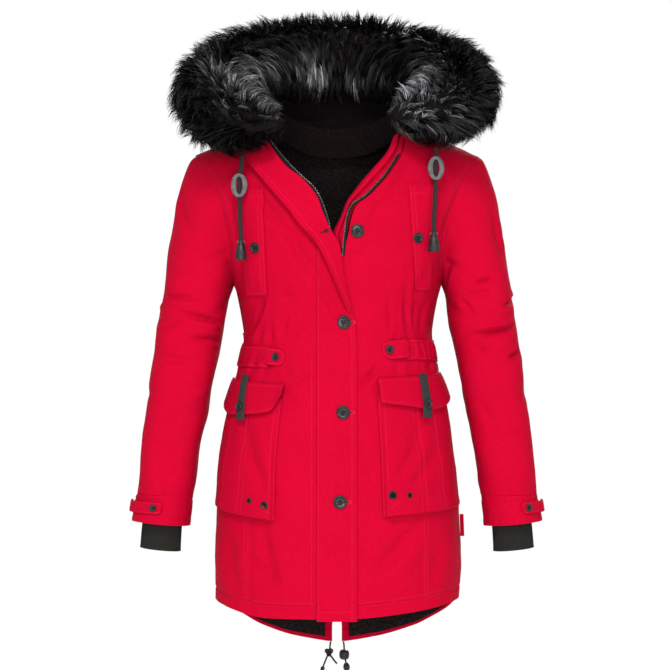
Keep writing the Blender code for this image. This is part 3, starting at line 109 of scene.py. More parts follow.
# %% [markdown]
# ## Helpers for curves and tables
# Most shapes below are read from short tables: a few sections of the body, a few points of a
# seam. A monotone cubic goes through such points without overshooting, so a waist stays
# where the table puts it.


# %% Reading tables
def curve_through(stations, values, at):
    """Monotone cubic through (station, value) pairs, read at one or many stations."""
    xs, ys = np.asarray(stations, float), np.asarray(values, float)
    step = np.diff(xs)
    slope = np.diff(ys) / step
    lean = np.zeros_like(ys)
    lean[0], lean[-1] = slope[0], slope[-1]
    same = slope[:-1] * slope[1:] > 0
    safe = np.where(same, slope[:-1] + slope[1:], 1.0)
    lean[1:-1] = np.where(same, 2.0 * slope[:-1] * slope[1:] / safe, 0.0)
    at = np.clip(np.asarray(at, float), xs[0], xs[-1])
    cell = np.clip(np.searchsorted(xs, at, side="right") - 1, 0, len(xs) - 2)
    t = (at - xs[cell]) / step[cell]
    return ((1 + 2 * t) * (1 - t) ** 2 * ys[cell] + t * (1 - t) ** 2 * step[cell] * lean[cell]
            + t * t * (3 - 2 * t) * ys[cell + 1] + t * t * (t - 1) * step[cell] * lean[cell + 1])


def column(table, names, name, at):
    """One named column of a table, read smoothly at a station of its first column."""
    rows = np.asarray(table, float)
    return curve_through(rows[:, 0], rows[:, names.index(name)], at)


def unit(vectors):
    """Vectors of length one along the last axis."""
    return vectors / np.maximum(np.linalg.norm(vectors, axis=-1, keepdims=True), 1e-9)


def directions(points, wrap=False):
    """Surface directions of a grid: the cross product of its steps across and down."""
    down = np.gradient(points, axis=0)
    if wrap:
        ringed = np.concatenate([points[:, -1:], points, points[:, :1]], axis=1)
        across = np.gradient(ringed, axis=1)[:, 1:-1]
    else:
        across = np.gradient(points, axis=1)
    return unit(np.cross(across, down))


def outward(points, away, wrap=False):
    """Surface directions of a grid, turned so that the middle one leans the way of away."""
    out = directions(points, wrap)
    middle = out[len(out) // 2, out.shape[1] // 2]
    return -out if float(middle @ np.asarray(away, float)) < 0 else out


def smooth(low, high, x):
    """0 below low, 1 above high, and a soft S between."""
    t = np.clip((x - low) / (high - low), 0.0, 1.0)
    return t * t * (3 - 2 * t)


def between(pair, share):
    """The straight way from the first number of a pair to the second, at a share."""
    return pair[0] + (pair[1] - pair[0]) * share


def closer_at_ends(count):
    """Shares from 0 to 1 that lie closer together near both ends: a half cosine."""
    return 0.5 - 0.5 * np.cos(np.linspace(0.0, math.pi, count))


# %% [markdown]
# ## From a grid to a piece of cloth
# Cloth is a sheet with a thickness. Each piece is a grid of outer points and a grid of inner
# points joined round every open edge. The grid's own arc lengths, in metres, become its UV
# map, so the weave runs with the cloth and not with the room.


# %% Making walls of cloth
PIECES = {}
WALL_SHARP = 55.0


def arc_lengths(points, wrap):
    """Distance along the rows and the columns of a grid, in metres, at its mean spacing."""
    ringed = np.concatenate([points, points[:, :1]], axis=1) if wrap else points
    across = np.linalg.norm(np.diff(ringed, axis=1), axis=-1).mean(axis=0)
    down = np.linalg.norm(np.diff(points, axis=0), axis=-1).mean(axis=1)
    u = np.concatenate([[0.0], np.cumsum(across)]) * MM
    v = np.concatenate([[0.0], np.cumsum(down)]) * MM
    return u, v


def placed(name, mesh, finish, node=None):
    """Keep a finished mesh as a piece that rides on the jacket and stands for its node: the
    one of the same name, where the plain model has it, or the one that is given."""
    mesh.materials.append(finish)
    piece = bpy.data.objects.new("scene_" + name, mesh)
    bpy.context.collection.objects.link(piece)
    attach(piece, "root")
    node = node or name
    if node in frame["nodes"]:
        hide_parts(node)
    PIECES[name] = piece
    return piece


def wall(name, outer, inner, finish, wrap=False, hole=None, node=None, held="draped",
         rests_on=(), sheet=True):
    """Join an outer and an inner grid into one closed wall, with faces pointing outwards.
    Its quads are the grid's cells, twice, and one more quad along each open edge."""
    rows, columns = outer.shape[:2]
    count = rows * columns
    spans = columns if wrap else columns - 1
    r, c = np.meshgrid(np.arange(rows - 1), np.arange(spans), indexing="ij")
    if hole is not None:
        keep = ~hole[:rows - 1, :spans]
        r, c = r[keep], c[keep]
    r, c = r.ravel(), c.ravel()
    d = (c + 1) % columns
    quads = np.stack([r * columns + c, r * columns + d, (r + 1) * columns + d,
                      (r + 1) * columns + c], axis=1)
    u, v = arc_lengths(outer, wrap)
    corner_u = np.stack([u[c], u[c + 1], u[c + 1], u[c]], axis=1)
    corner_v = np.stack([v[r], v[r], v[r + 1], v[r + 1]], axis=1)
    flat_outer = outer.reshape(-1, 3)
    flat_inner = inner.reshape(-1, 3)
    one = flat_outer[quads[:, 2]] - flat_outer[quads[:, 0]]
    two = flat_outer[quads[:, 3]] - flat_outer[quads[:, 1]]
    away = (flat_outer - flat_inner)[quads[:, 0]]
    if np.sum(np.cross(one, two) * away) < 0:
        quads, corner_u, corner_v = quads[:, ::-1], corner_u[:, ::-1], corner_v[:, ::-1]
    starts, ends = quads.ravel(), np.roll(quads, -1, axis=1).ravel()
    forward, backward = starts * count + ends, ends * count + starts
    rim = ~np.isin(forward, backward)
    a, b = starts[rim], ends[rim]
    rims = np.stack([b, a, count + a, count + b], axis=1)
    ru = corner_u.ravel()[rim]
    rv = corner_v.ravel()[rim]
    faces = np.concatenate([quads, count + quads[:, ::-1], rims])
    used = np.zeros(2 * count, bool)
    used[faces.ravel()] = True
    renumber = np.cumsum(used) - 1
    vertices = np.concatenate([flat_outer, flat_inner])[used] * MM
    mesh = bpy.data.meshes.new(name)
    mesh.from_pydata(vertices.tolist(), [], renumber[faces].tolist())
    uv = mesh.uv_layers.new(name="cloth")
    rim_uv = np.stack([np.repeat(ru, 4), np.repeat(rv, 4)], axis=1)
    flat = np.concatenate([np.stack([corner_u.ravel(), corner_v.ravel()], axis=1),
                           np.stack([corner_u[:, ::-1].ravel(), corner_v[:, ::-1].ravel()], axis=1),
                           rim_uv])
    uv.data.foreach_set("uv", flat.astype(np.float32).ravel())
    mesh.shade_smooth()
    mesh.set_sharp_from_angle(angle=math.radians(WALL_SHARP))
    piece = placed(name, mesh, finish, node)
    return piece


def solid(name, vertices, faces, finish, sharp=40.0, node=None):
    """A closed hard piece from points in millimetres and faces that already point outwards."""
    mesh = bpy.data.meshes.new(name)
    mesh.from_pydata((np.asarray(vertices) * MM).tolist(), [], [tuple(f) for f in faces])
    mesh.shade_smooth()
    mesh.set_sharp_from_angle(angle=math.radians(sharp))
    return placed(name, mesh, finish, node)


# %% [markdown]
# ## Finishes
# The shell is a matt, brushed cotton twill: hardly any gloss, a fine diagonal weave and a
# slightly uneven dye. A photograph of cloth could be wrapped round it, but it would show its
# edges; here a weave is two waves across each other on the UV map, and noise breaks them up
# so that no line runs on for ever. Colour, bump and roughness all come from nodes; numbers
# that don't vary sit on the shader itself.


# %% Material helpers
def new_material(name, colour, roughness, metallic=0.0, specular=0.5):
    """A Principled material and its node tree, with its constant values on the shader."""
    made = bpy.data.materials.new(name)
    made.use_nodes = True
    tree = made.node_tree
    shader = tree.nodes["Principled BSDF"]
    shader.inputs["Base Color"].default_value = (*colour, 1.0)
    shader.inputs["Roughness"].default_value = roughness
    shader.inputs["Metallic"].default_value = metallic
    shader.inputs["Specular IOR Level"].default_value = specular
    return made, tree, shader


def add(tree, kind, **settings):
    """A node with its plain properties and input values set by name."""
    node = tree.nodes.new(kind)
    for key, value in settings.items():
        if hasattr(node, key):
            setattr(node, key, value)
        else:
            node.inputs[key.replace("_", " ")].default_value = value
    return node


def scaled(tree, source, amount):
    """A coordinate stretched by an amount along each axis."""
    mapping = add(tree, "ShaderNodeMapping", Scale=amount)
    tree.links.new(source, mapping.inputs["Vector"])
    return mapping.outputs["Vector"]


def noise(tree, where, scale, detail=3.0, roughness=0.55):
    """The value of a noise texture at a coordinate."""
    node = add(tree, "ShaderNodeTexNoise", Scale=scale, Detail=detail, Roughness=roughness)
    tree.links.new(where, node.inputs["Vector"])
    return node.outputs["Fac"]


def wave(tree, where, way, scale, distortion):
    """The value of a banded wave along one way of a coordinate."""
    node = add(tree, "ShaderNodeTexWave", wave_type="BANDS", bands_direction=way, Scale=scale,
               Distortion=distortion, Detail=1.0)
    tree.links.new(where, node.inputs["Vector"])
    return node.outputs["Fac"]


def mapped(tree, value, low, high, to_low, to_high):
    """A value carried from one range to another."""
    node = add(tree, "ShaderNodeMapRange", From_Min=low, From_Max=high, To_Min=to_low,
               To_Max=to_high)
    tree.links.new(value, node.inputs["Value"])
    return node.outputs["Result"]


def plug(tree, socket, source):
    """Link a socket to a source, or set it where the source is a plain value."""
    if hasattr(source, "is_linked"):
        tree.links.new(source, socket)
    else:
        socket.default_value = source


def blend(tree, factor, one, two):
    """A colour mixed from two colours by a factor."""
    node = add(tree, "ShaderNodeMix", data_type="RGBA")
    plug(tree, node.inputs[0], factor)
    for socket, source in ((node.inputs[6], one), (node.inputs[7], two)):
        plug(tree, socket, source if hasattr(source, "is_linked") else (*source, 1.0))
    return node.outputs[2]


def calc(tree, operation, one, two=0.0):
    """One step of arithmetic on sockets or numbers."""
    node = add(tree, "ShaderNodeMath", operation=operation)
    plug(tree, node.inputs[0], one)
    plug(tree, node.inputs[1], two)
    return node.outputs[0]


def weighted(tree, *parts):
    """The sum of several values, each with its share: (value, share) pairs."""
    scaled_parts = [calc(tree, "MULTIPLY", value, share) for value, share in parts]
    result = scaled_parts[0]
    for part in scaled_parts[1:]:
        result = calc(tree, "ADD", result, part)
    return result


def bump(tree, shader, height, distance, strength=1.0):
    """Relief from a height value, in metres."""
    node = add(tree, "ShaderNodeBump", Strength=strength, Distance=distance)
    tree.links.new(height, node.inputs["Height"])
    tree.links.new(node.outputs["Normal"], shader.inputs["Normal"])


def coordinates(tree, kind="Object"):
    """Object coordinates in metres, or the piece's own UV map."""
    return add(tree, "ShaderNodeTexCoord").outputs[kind]


# %% The red twill, plush, knit and webbing
def twill(name, colour, shade):
    """Brushed twill: diagonal ribs of yarn on the UV map, broken by noise, over an uneven
    dye that runs from the colour towards its shade."""
    made, tree, shader = new_material(name, colour, 0.85, specular=0.03)
    place, cloth = coordinates(tree), coordinates(tree, "UV")
    broad = noise(tree, place, 9.0, 4.0)
    fine = noise(tree, place, 240.0, 2.0)
    dye = calc(tree, "ADD", mapped(tree, broad, 0.3, 0.7, 0.0, 0.32),
               mapped(tree, fine, 0.3, 0.7, 0.0, 0.34))
    tree.links.new(blend(tree, dye, colour, shade), shader.inputs["Base Color"])
    ribs = wave(tree, cloth, "DIAGONAL", 260.0, 1.2)
    weft = wave(tree, cloth, "X", 420.0, 0.8)
    slub = noise(tree, scaled(tree, cloth, (60.0, 900.0, 1.0)), 1.0, 2.0)
    height = weighted(tree, (ribs, 0.5), (weft, 0.25), (slub, 0.5),
                      (noise(tree, place, 55.0, 4.0), 1.9))
    bump(tree, shader, height, 0.00042, 0.75)
    tree.links.new(mapped(tree, fine, 0.2, 0.8, 0.74, 0.92), shader.inputs["Roughness"])
    return made


def pile(name, colour, tint, scale, distance):
    """Short plush: a near-black ground, a rough high pile in the bump, a few paler tips."""
    made, tree, shader = new_material(name, colour, 0.95, specular=0.01)
    place = coordinates(tree)
    tips = noise(tree, place, scale, 3.0, 0.7)
    tree.links.new(blend(tree, mapped(tree, tips, 0.45, 0.75, 0.0, 1.0), colour, tint),
                   shader.inputs["Base Color"])
    heap = calc(tree, "ADD", tips, noise(tree, place, scale * 0.25, 2.0))
    bump(tree, shader, heap, distance, 1.0)
    return made


# A banded wave of scale 1 repeats every 0.314 m, so this over a pitch is its scale.
WAVE_UNIT = 0.31416


def woven(name, colour, pale, pitch, roughness=0.85):
    """A coarse plain weave on the UV map: one wave across, one along."""
    made, tree, shader = new_material(name, colour, roughness, specular=0.03)
    cloth = coordinates(tree, "UV")
    across, along = (wave(tree, cloth, way, WAVE_UNIT / pitch, 0.4) for way in "XY")
    height = calc(tree, "MULTIPLY", across, along)
    fleck = calc(tree, "MULTIPLY", height, noise(tree, coordinates(tree), 300.0))
    tree.links.new(blend(tree, fleck, colour, pale), shader.inputs["Base Color"])
    bump(tree, shader, height, 0.0004, 0.8)
    return made


RED_LIT = (0.300, 0.0001, 0.0128)
RED_SHADE = (0.240, 0.0001, 0.0118)
red = twill("red_twill", RED_LIT, RED_SHADE)
plush = pile("black_plush", (0.0036, 0.0024, 0.0025), (0.0115, 0.0074, 0.0076), 420.0, 0.0022)
fleece = pile("black_fleece", (0.0056, 0.0041, 0.0042), (0.0200, 0.0146, 0.0147), 330.0, 0.0022)
webbing = woven("webbing", (0.0175, 0.0165, 0.0165), (0.050, 0.047, 0.047), 0.0022)
tape = woven("zip_tape", (0.005, 0.005, 0.0055), (0.020, 0.019, 0.021), 0.0012)
knit = woven("rib_knit", (0.0095, 0.0093, 0.0084), (0.026, 0.0255, 0.0225), 0.0018, 0.95)
print("cloth finishes:", [m.name for m in (red, plush, fleece, webbing, tape, knit)])


# %% Hard finishes
def moulded(name, colour, pale, roughness, metallic=0.0, specular=0.5):
    """Moulded or cast stuff: mottled colour, fine scratches in the roughness."""
    made, tree, shader = new_material(name, colour, roughness, metallic=metallic,
                                      specular=specular)
    place = coordinates(tree)
    mottle = noise(tree, place, 160.0, 5.0)
    tree.links.new(blend(tree, mapped(tree, mottle, 0.35, 0.7, 0.0, 1.0), colour, pale),
                   shader.inputs["Base Color"])
    rub = noise(tree, scaled(tree, place, (300.0, 300.0, 1800.0)), 1.0, 2.0)
    tree.links.new(mapped(tree, rub, 0.2, 0.8, roughness - 0.1, roughness + 0.15),
                   shader.inputs["Roughness"])
    bump(tree, shader, mottle, 0.00015, 0.5)
    return made


button_grey = moulded("button_grey", (0.0048, 0.0044, 0.0048), (0.0175, 0.0160, 0.0168), 0.36,
                      specular=0.16)
stop_grey = moulded("stop_grey", (0.022, 0.022, 0.024), (0.055, 0.055, 0.058), 0.45, specular=0.3)
gunmetal = moulded("gunmetal", (0.012, 0.011, 0.011), (0.030, 0.028, 0.029), 0.5, metallic=0.5,
                   specular=0.12)
bright_metal = moulded("bright_metal", (0.10, 0.095, 0.095), (0.26, 0.25, 0.25), 0.38,
                       metallic=0.9)
# The thread is a paler red than the cloth: a painted highlight for the light it catches.
thread, _, _ = new_material("red_thread_painted_highlight", (0.375, 0.007, 0.028), 0.8, specular=0.04)
dark_thread, _, _ = new_material("dark_thread", (0.05, 0.003, 0.006), 0.7, specular=0.1)
print("hard finishes:", [m.name for m in (button_grey, stop_grey, gunmetal, bright_metal)])

# %% The floor
FLOOR_RADIUS, FLOOR_Z, FLOOR_STEPS = 3.2, -1.38, 96
floor_finish, tree, shader = new_material("pale_floor", (0.86, 0.86, 0.86), 0.9, specular=0.1)
tree.links.new(blend(tree, noise(tree, coordinates(tree), 2.0), (0.85, 0.85, 0.85),
                     (0.88, 0.88, 0.88)), shader.inputs["Base Color"])
turn = np.linspace(0.0, 2 * math.pi, FLOOR_STEPS, endpoint=False)
disc = np.stack([FLOOR_RADIUS * np.cos(turn), FLOOR_RADIUS * np.sin(turn),
                 np.full(FLOOR_STEPS, FLOOR_Z)], axis=1)
floor_mesh = bpy.data.meshes.new("floor")
floor_mesh.from_pydata(disc.tolist(), [], [tuple(range(FLOOR_STEPS))])
floor_mesh.materials.append(floor_finish)
floor = bpy.data.objects.new("floor", floor_mesh)
bpy.context.collection.objects.link(floor)
print("floor %.2f m below the shoulders" % -FLOOR_Z)

# %% [markdown]
# ## The body's surface
# A worn jacket is a rounded tube that narrows at the waist and closes over the shoulders.
# It could be sculpted, but one formula keeps every panel and pocket on the same surface:
# each level section is a rounded rectangle (a superellipse) whose widths and depths come
# from a table, and an arch shrinks the depth to nothing at the shoulder seam.

# %% Sizes and tables of the body
# Thickness of the shell, a flap, the lining and a strap; how far off the body a piece lies;
# and the open seam between two walls.
CLOTH, FLAP, LINING, STRAP, LIE, SEAM = 2.6, 1.8, 2.2, 1.4, 0.7, 0.3
ROUNDNESS = 2.4
ARMPIT_Z, ARCH_Z, ARCH_POWER = -232.0, -190.0, 2.2
SHOULDER_TOP, SHOULDER_SLOPE = 50.0, 0.42
# Left and right here are the picture's: the two half widths at -X and +X.
BODY_NAMES = ("height", "left", "right", "front", "back")
BODY = (
    (-800, 182, 181, 154, 166), (-715, 182, 182, 152, 160), (-645, 183, 185, 150, 156),
    (-570, 181, 183, 146, 151), (-525, 178, 179, 142, 146), (-480, 174, 174, 137, 139),
    (-435, 166, 167, 131, 130), (-405, 160, 162, 127, 124), (-375, 154, 156, 123, 117),
    (-352, 147, 150, 119, 111), (-330, 142, 145, 116, 107), (-307, 139, 141, 114, 104),
    (-285, 142, 144, 115, 105), (-255, 148, 150, 118, 108), (-232, 154, 156, 121, 112),
    (-190, 168, 168, 124, 116), (-140, 185, 185, 125, 118), (-80, 215, 215, 124, 118),
    (-40, 235, 235, 122, 116), (60, 260, 260, 120, 112),
)
ARMHOLE_NAMES = ("along", "x", "z")
ARMHOLE = ((0.00, 154, -232), (0.14, 156, -206), (0.28, 159, -178), (0.44, 164, -143),
           (0.60, 172, -108), (0.78, 188, -72), (1.00, 212, -39))
RIGHT_EDGE = ((-760, -0.2), (-215, -0.2), (-198, -2.5), (-172, -9), (-145, -14), (-111, -26),
              (-94, -36), (-75, -56), (-59, -72), (-33, -93), (-20, -102), (-8, -101), (14, -88))
LEFT_EDGE = ((-760, 0.2), (-215, 0.4), (-198, 5), (-184, 10), (-162, 16), (-137, 21),
             (-118, 29), (-107, 44), (-90, 61), (-75, 74), (-54, 88), (-42, 95), (-20, 100),
             (-6, 98), (14, 88))
NECK_X, BACK_NECK_Z = 88.0, -5.0
SIDE_X = 185.0
FRONT_HEM = ((-185, -699), (-100, -716), (0, -716), (100, -709), (185, -697))
BACK_HEM = ((-185, -699), (-172, -714), (-152, -733), (-115, -759), (-60, -779), (0, -788),
            (60, -779), (122, -758), (140, -747), (171, -722), (185, -697))
VENT_TOP_Z, VENT_HALF, VENT_FACING, LINING_HEM = -655.0, 7.5, 20.0, 7.5
WAIST_Z = -333.0
# Broad folds: angle round the body, height, slant, length, width and depth.
BODY_FOLDS = (
    (-64, -284, 30, 90, 36, 4.0), (-38, -384, -35, 90, 38, 2.5), (60, -278, -28, 90, 36, 4.0),
    (-76, -250, 52, 80, 34, 3.0), (36, -388, 32, 86, 38, 2.5), (118, -288, -30, 100, 40, 4.0),
    (-122, -284, 32, 96, 40, 4.0), (150, -386, 24, 96, 40, 3.5), (-154, -384, -26, 96, 40, 3.5),
    (172, -270, -12, 90, 40, 3.0),
)
BODY_ARC = 2.4
print("body from %d to %d mm" % (BODY[0][0], BODY[-1][0]))


# %% The surface itself
def half_width(side, z):
    """The body's half width on the side that a sign gives, at a height."""
    return np.where(side >= 0, column(BODY, BODY_NAMES, "right", z),
                    column(BODY, BODY_NAMES, "left", z))


def ring_profile(x, z):
    """Depth share (0 to 1) of the superellipse at a position across."""
    share = np.clip(np.abs(x) / half_width(x, z), 0.0, 1.0)
    return np.power(np.maximum(1.0 - share ** ROUNDNESS, 0.0), 1.0 / ROUNDNESS)


def shoulder_z(x):
    """Height of the shoulder seam above a position across: a straight slope."""
    return SHOULDER_TOP - SHOULDER_SLOPE * np.abs(x)


def arch(x, z):
    """How far the body has closed over the shoulder, 1 on the chest and 0 on the seam."""
    rise = np.clip((z - ARCH_Z) / (shoulder_z(x) - ARCH_Z), 0.0, 1.0)
    return np.power(np.maximum(1.0 - rise ** ARCH_POWER, 0.0), 1.0 / ARCH_POWER)


def face_point(x, z, face, sign):
    """One face of the body: a sign times its depth times its profile times the arch."""
    x, z = np.broadcast_arrays(np.asarray(x, float), np.asarray(z, float))
    y = sign * column(BODY, BODY_NAMES, face, z) * ring_profile(x, z) * arch(x, z)
    return np.stack([x, y, z], axis=-1)


def front_point(x, z):
    """Front surface, on the -Y side."""
    return face_point(x, z, "front", -1.0)


def back_point(x, z):
    """Back surface, on the +Y side."""
    return face_point(x, z, "back", 1.0)


def ring_x(angle, z):
    """Position across at an angle round the body, 0 in front and 90 degrees at the side."""
    lean = np.sin(np.radians(angle))
    return np.sign(lean) * half_width(lean, z) * np.abs(lean) ** (2.0 / ROUNDNESS)


def round_point(angle, z):
    """The same surface by angle and height, below the armpit."""
    angle, z = np.broadcast_arrays(np.asarray(angle, float), np.asarray(z, float))
    turn = np.cos(np.radians(angle))
    depth = np.where(turn >= 0, column(BODY, BODY_NAMES, "front", z),
                     column(BODY, BODY_NAMES, "back", z))
    y = -np.sign(turn) * depth * np.abs(turn) ** (2.0 / ROUNDNESS)
    return np.stack([ring_x(angle, z), y, z], axis=-1)


def analytic_normals(surface, first, second, step=0.5):
    """Outward directions of a surface of two parameters, by small steps of each."""
    one = surface(first + step, second) - surface(first - step, second)
    two = surface(first, second + step) - surface(first, second - step)
    return unit(np.cross(one, two))


# %% [markdown]
# ## Creases
# Padded cotton doesn't hang smooth: it pulls from the underarm, gathers above and below the
# waist, and buckles over the pockets. Cloth simulation could give creases, but not these
# ones, in these places. Each main crease is placed one by one as a soft trough with a low
# ridge beside it, bowed a little and fading out at both ends. Rows give its two ends, its
# width, its depth and its bow.


# %% Crease functions
CREASE_GAIN = 2.3


def creases(a, b, table):
    """Sum of troughs over positions (a, b). Across each one the height is a negative bell
    and a smaller positive bell beside it, on the other side where the width is negative;
    along it a sine fades it in and out."""
    relief = np.zeros(np.broadcast(a, b).shape)
    for a0, b0, a1, b1, width, depth, bow in table:
        run = math.hypot(a1 - a0, b1 - b0)
        ta, tb = (a1 - a0) / run, (b1 - b0) / run
        along = ((a - a0) * ta + (b - b0) * tb) / run
        side = (b - b0) * ta - (a - a0) * tb - 4 * bow * along * (1 - along)
        side = side / (0.8 * width)
        trough = 0.5 * np.exp(-((side - 1.7) / 1.15) ** 2) - np.exp(-side * side)
        fade = np.sin(math.pi * np.clip(along, 0.0, 1.0)) ** 0.8
        relief = relief + CREASE_GAIN * depth * trough * fade
    return relief


def softness(points, size, amount, seed):
    """Slow unevenness of padded cloth: a few sine waves through space in mixed directions."""
    dice = np.random.default_rng(seed)
    relief = np.zeros(points.shape[:-1])
    for _ in range(7):
        way = unit(dice.normal(size=3)) * (2 * math.pi / (size * dice.uniform(0.6, 1.6)))
        relief = relief + np.sin(points @ way + dice.uniform(0, 6.3))
    return relief * amount / 3.0


# Creases on the front: x and z of both ends, width, depth, bow (mm).
FRONT_CREASES = (
    (-107, -252, -132, -312, 4.5, 3.2, 2.5), (-81, -245, -65, -260, 11, 1.3, 0),
    (-73, -277, -82, -319, 4, 1.4, 2), (-36, -286, -74, -319, 7, 1.6, -2),
    (-123, -289, -126, -319, 4, 0.5, 0), (-109, -286, -109, -319, 4, 0.5, 0),
    (-96, -289, -97, -321, 4, 0.6, 0), (-78, -352, -64, -376, 5, 1.4, 1),
    (-36, -354, -65, -376, 7, 1.3, 2), (-126, -352, -129, -370, 4, 1, 0),
    (-109, -354, -109, -371, 4, 0.8, 0), (-93, -355, -87, -374, 4, 1, 0),
    (75, -244, 77, -312, 4.5, 1.5, 1), (87, -251, 87, -303, 5, 0.8, -1),
    (102, -232, 106, -312, 4.5, 1.8, -2), (117, -257, 112, -312, 5, 1, 1),
    (131, -261, 122, -312, 5, 1, -1), (144, -254, 135, -312, 5, 0.9, 1),
    (65, -347, 33, -389, 5.5, 3, -2), (72, -351, 62, -367, 4, 1.4, 1),
    (86, -348, 88, -366, 4, 1, 0), (103, -350, 106, -367, 4, 1, 0),
    (120, -348, 125, -364, 4, 1, 0), (135, -347, 141, -363, 4, 1, 0),
    (14, -203, 46, -177, 8, 1.1, -2), (38, -123, 83, -145, 12, 0.9, 3),
    (-65, -132, -52, -204, 12, 0.8, 3), (-157, -116, -145, -207, 5, 2.4, 2),
    (160, -129, 154, -213, -5, 1.9, -2), (-168, -80, -152, -136, 6, 1.2, 2),
    (183, -94, 161, -151, -6, 1.4, -2), (-132, -437, -91, -550, 13, 2.6, -4),
    (120, -437, 77, -527, 11, 2.4, 4), (149, -466, 83, -544, 12, 1.6, 3),
    (-55, -509, -35, -445, 10, 1.1, 2), (-107, -582, -84, -669, 10, 2.4, -4),
    (-135, -628, -86, -675, 12, 1.6, 3), (123, -582, 55, -656, 14, 2.7, -4),
    (151, -602, 135, -669, 12, 1.2, 3), (-164, -587, -152, -675, 10, 1.4, 3),
    (-55, -573, -45, -683, 14, 0.9, 4), (-78, -396, -52, -418, 8, 1, 2),
    (35, -457, 52, -521, 8, 1.2, 3), (42, -393, 52, -434, 8, 0.8, -2),
    (-147, -210, -109, -184, 9, 1, 2), (131, -210, 112, -257, 8, 0.8, -2),
    (-129, -80, -65, -167, -9, 2, -2), (-81, -146, -20, -234, -9, 2, -2),
    (-36, -213, 7, -289, -7, 1.7, -2), (35, -161, 78, -107, 9, 1.5, 2),
    (68, -117, 109, -65, 9, 1.5, 2),
)
# Creases on the back, in the same way.
BACK_CREASES = (
    (-150, -240, -70, -282, 12, 2.6, 8), (150, -240, 64, -290, -12, 2.6, -8),
    (-132, -292, -40, -262, 12, 1.8, -8), (128, -298, 30, -260, -12, 1.8, 8),
    (-120, -352, -60, -420, -10, 2.4, 6), (112, -352, 50, -424, 10, 2.4, -8),
    (-30, -350, -44, -440, 9, 1.6, 4), (26, -352, 34, -450, -9, 1.6, -4),
    (-80, -318, -66, -272, 7, 1.8, 3), (70, -318, 60, -270, -7, 1.8, -3),
    (-16, -318, -8, -266, 7, 1.4, 3), (-160, -120, -140, -220, -9, 2.0, 6),
    (160, -118, 142, -220, 9, 2.0, -6), (-120, -500, -60, -640, 14, 1.6, 12),
    (110, -480, 56, -650, -14, 1.6, -12), (-150, -600, -80, -700, 13, 1.3, -8),
    (150, -590, 90, -700, -13, 1.3, 8), (-90, -90, -30, -140, 16, 1.3, 8),
    (96, -84, 26, -132, -16, 1.3, -8),
)
# Panel seams on the front: x, and z of the upper and lower end.
SEAMS = ((-126.5, -560, -716), (124.0, -550, -716))


def broad_folds(angle, z, table, arc_of_degree):
    """Depth of the broad folds at angles and heights: a stretched bell for each row."""
    depth = np.zeros(np.broadcast(angle, z).shape)
    for spot, high, slant, length, width, deep in table:
        arc = ((angle - spot + 180.0) % 360.0 - 180.0) * arc_of_degree
        rise = z - high
        cos, sin = math.cos(math.radians(slant)), math.sin(math.radians(slant))
        along = (arc * cos + rise * sin) / (0.5 * length)
        across = (-arc * sin + rise * cos) / (0.5 * width)
        depth = depth + deep * np.exp(-along ** 2 - across ** 2)
    return depth


def gathers(angle, z):
    """Puckers that the elastic pulls into the body above and below the casing: a ripple
    round the side and back that dies out 40 mm away from it."""
    ripple = np.sin(np.radians(angle) * 26.0 + 1.3 * np.sin(np.radians(angle) * 7.0))
    ripple = ripple + 0.6 * np.sin(np.radians(angle) * 41.0 + 0.8)
    near = np.exp(-((np.abs(z - WAIST_Z) - 15.0) / 17.0) ** 2)
    near = np.where(np.abs(z - WAIST_Z) < 15.0, 0.25, near)
    sides = smooth(30.0, 44.0, np.abs(((angle + 180.0) % 360.0) - 180.0))
    return 1.5 * ripple * near * sides


def body_relief(points):
    """Everything that moves the body's cloth in or out at its points."""
    x, y, z = points[..., 0], points[..., 1], points[..., 2]
    angle = np.degrees(np.arctan2(x, -y))
    off_casing = np.clip((np.abs(z - WAIST_Z) - 16.0) / 20.0, 0.0, 1.0)
    relief = gathers(angle, z) - broad_folds(angle, z, BODY_FOLDS, BODY_ARC) * off_casing
    relief = relief + np.where(y < 0, creases(x, z, FRONT_CREASES),
                               creases(x, z, BACK_CREASES))
    relief = relief + softness(points, 110.0, 0.9, 3) + softness(points, 42.0, 0.34, 4)
    relief = relief + softness(points, 21.0, 0.14, 5)
    calm = 1.0 - 0.6 * np.exp(-((z - WAIST_Z) / 17.0) ** 4)
    return np.clip(relief * calm, -10.0, 3.2)


print("creases placed by hand on the body:", len(FRONT_CREASES) + len(BACK_CREASES))

# %% [markdown]
# ## Fronts and back
# Each front is cut from the zip's edge to the side seam and from the hem to the shoulder.
# The grids below have one row for each few millimetres, so that a crease 7 mm wide is
# smooth. The fronts and the back share one outward direction at their seams, so the walls
# butt against each other without a step.

# %% Body panels
BODY_ROWS, YOKE_ROWS, HALF_COLUMNS = 120, 46, 52
HEM_ROWS, HEM_SHARE = 19, 0.055
# Shares of the way from the hem to the armpit, closer together over the hem's stitching.
ROW_SHARES = np.concatenate([np.linspace(0.0, HEM_SHARE, HEM_ROWS + 1),
                             np.linspace(HEM_SHARE, 1.0, BODY_ROWS - HEM_ROWS + 1)[1:]])


def across_weights(count):
    """Places of the columns from the middle (0) to the side (1), closer near the side."""
    return np.sin(np.linspace(0.0, 0.5 * math.pi, count + 1)) ** (2.0 / ROUNDNESS)


def armhole_points(sign, count):
    """Positions (x, z) up the armhole at one side."""
    at = np.linspace(0.0, 1.0, count + 1)
    x = column(ARMHOLE, ARMHOLE_NAMES, "x", at) + (2.0 if sign > 0 else 0.0) * (1.0 - at) ** 2
    return sign * x, column(ARMHOLE, ARMHOLE_NAMES, "z", at)


def along_line(line, at):
    """A line of (station, value) pairs read at stations."""
    return curve_through([p[0] for p in line], [p[1] for p in line], at)


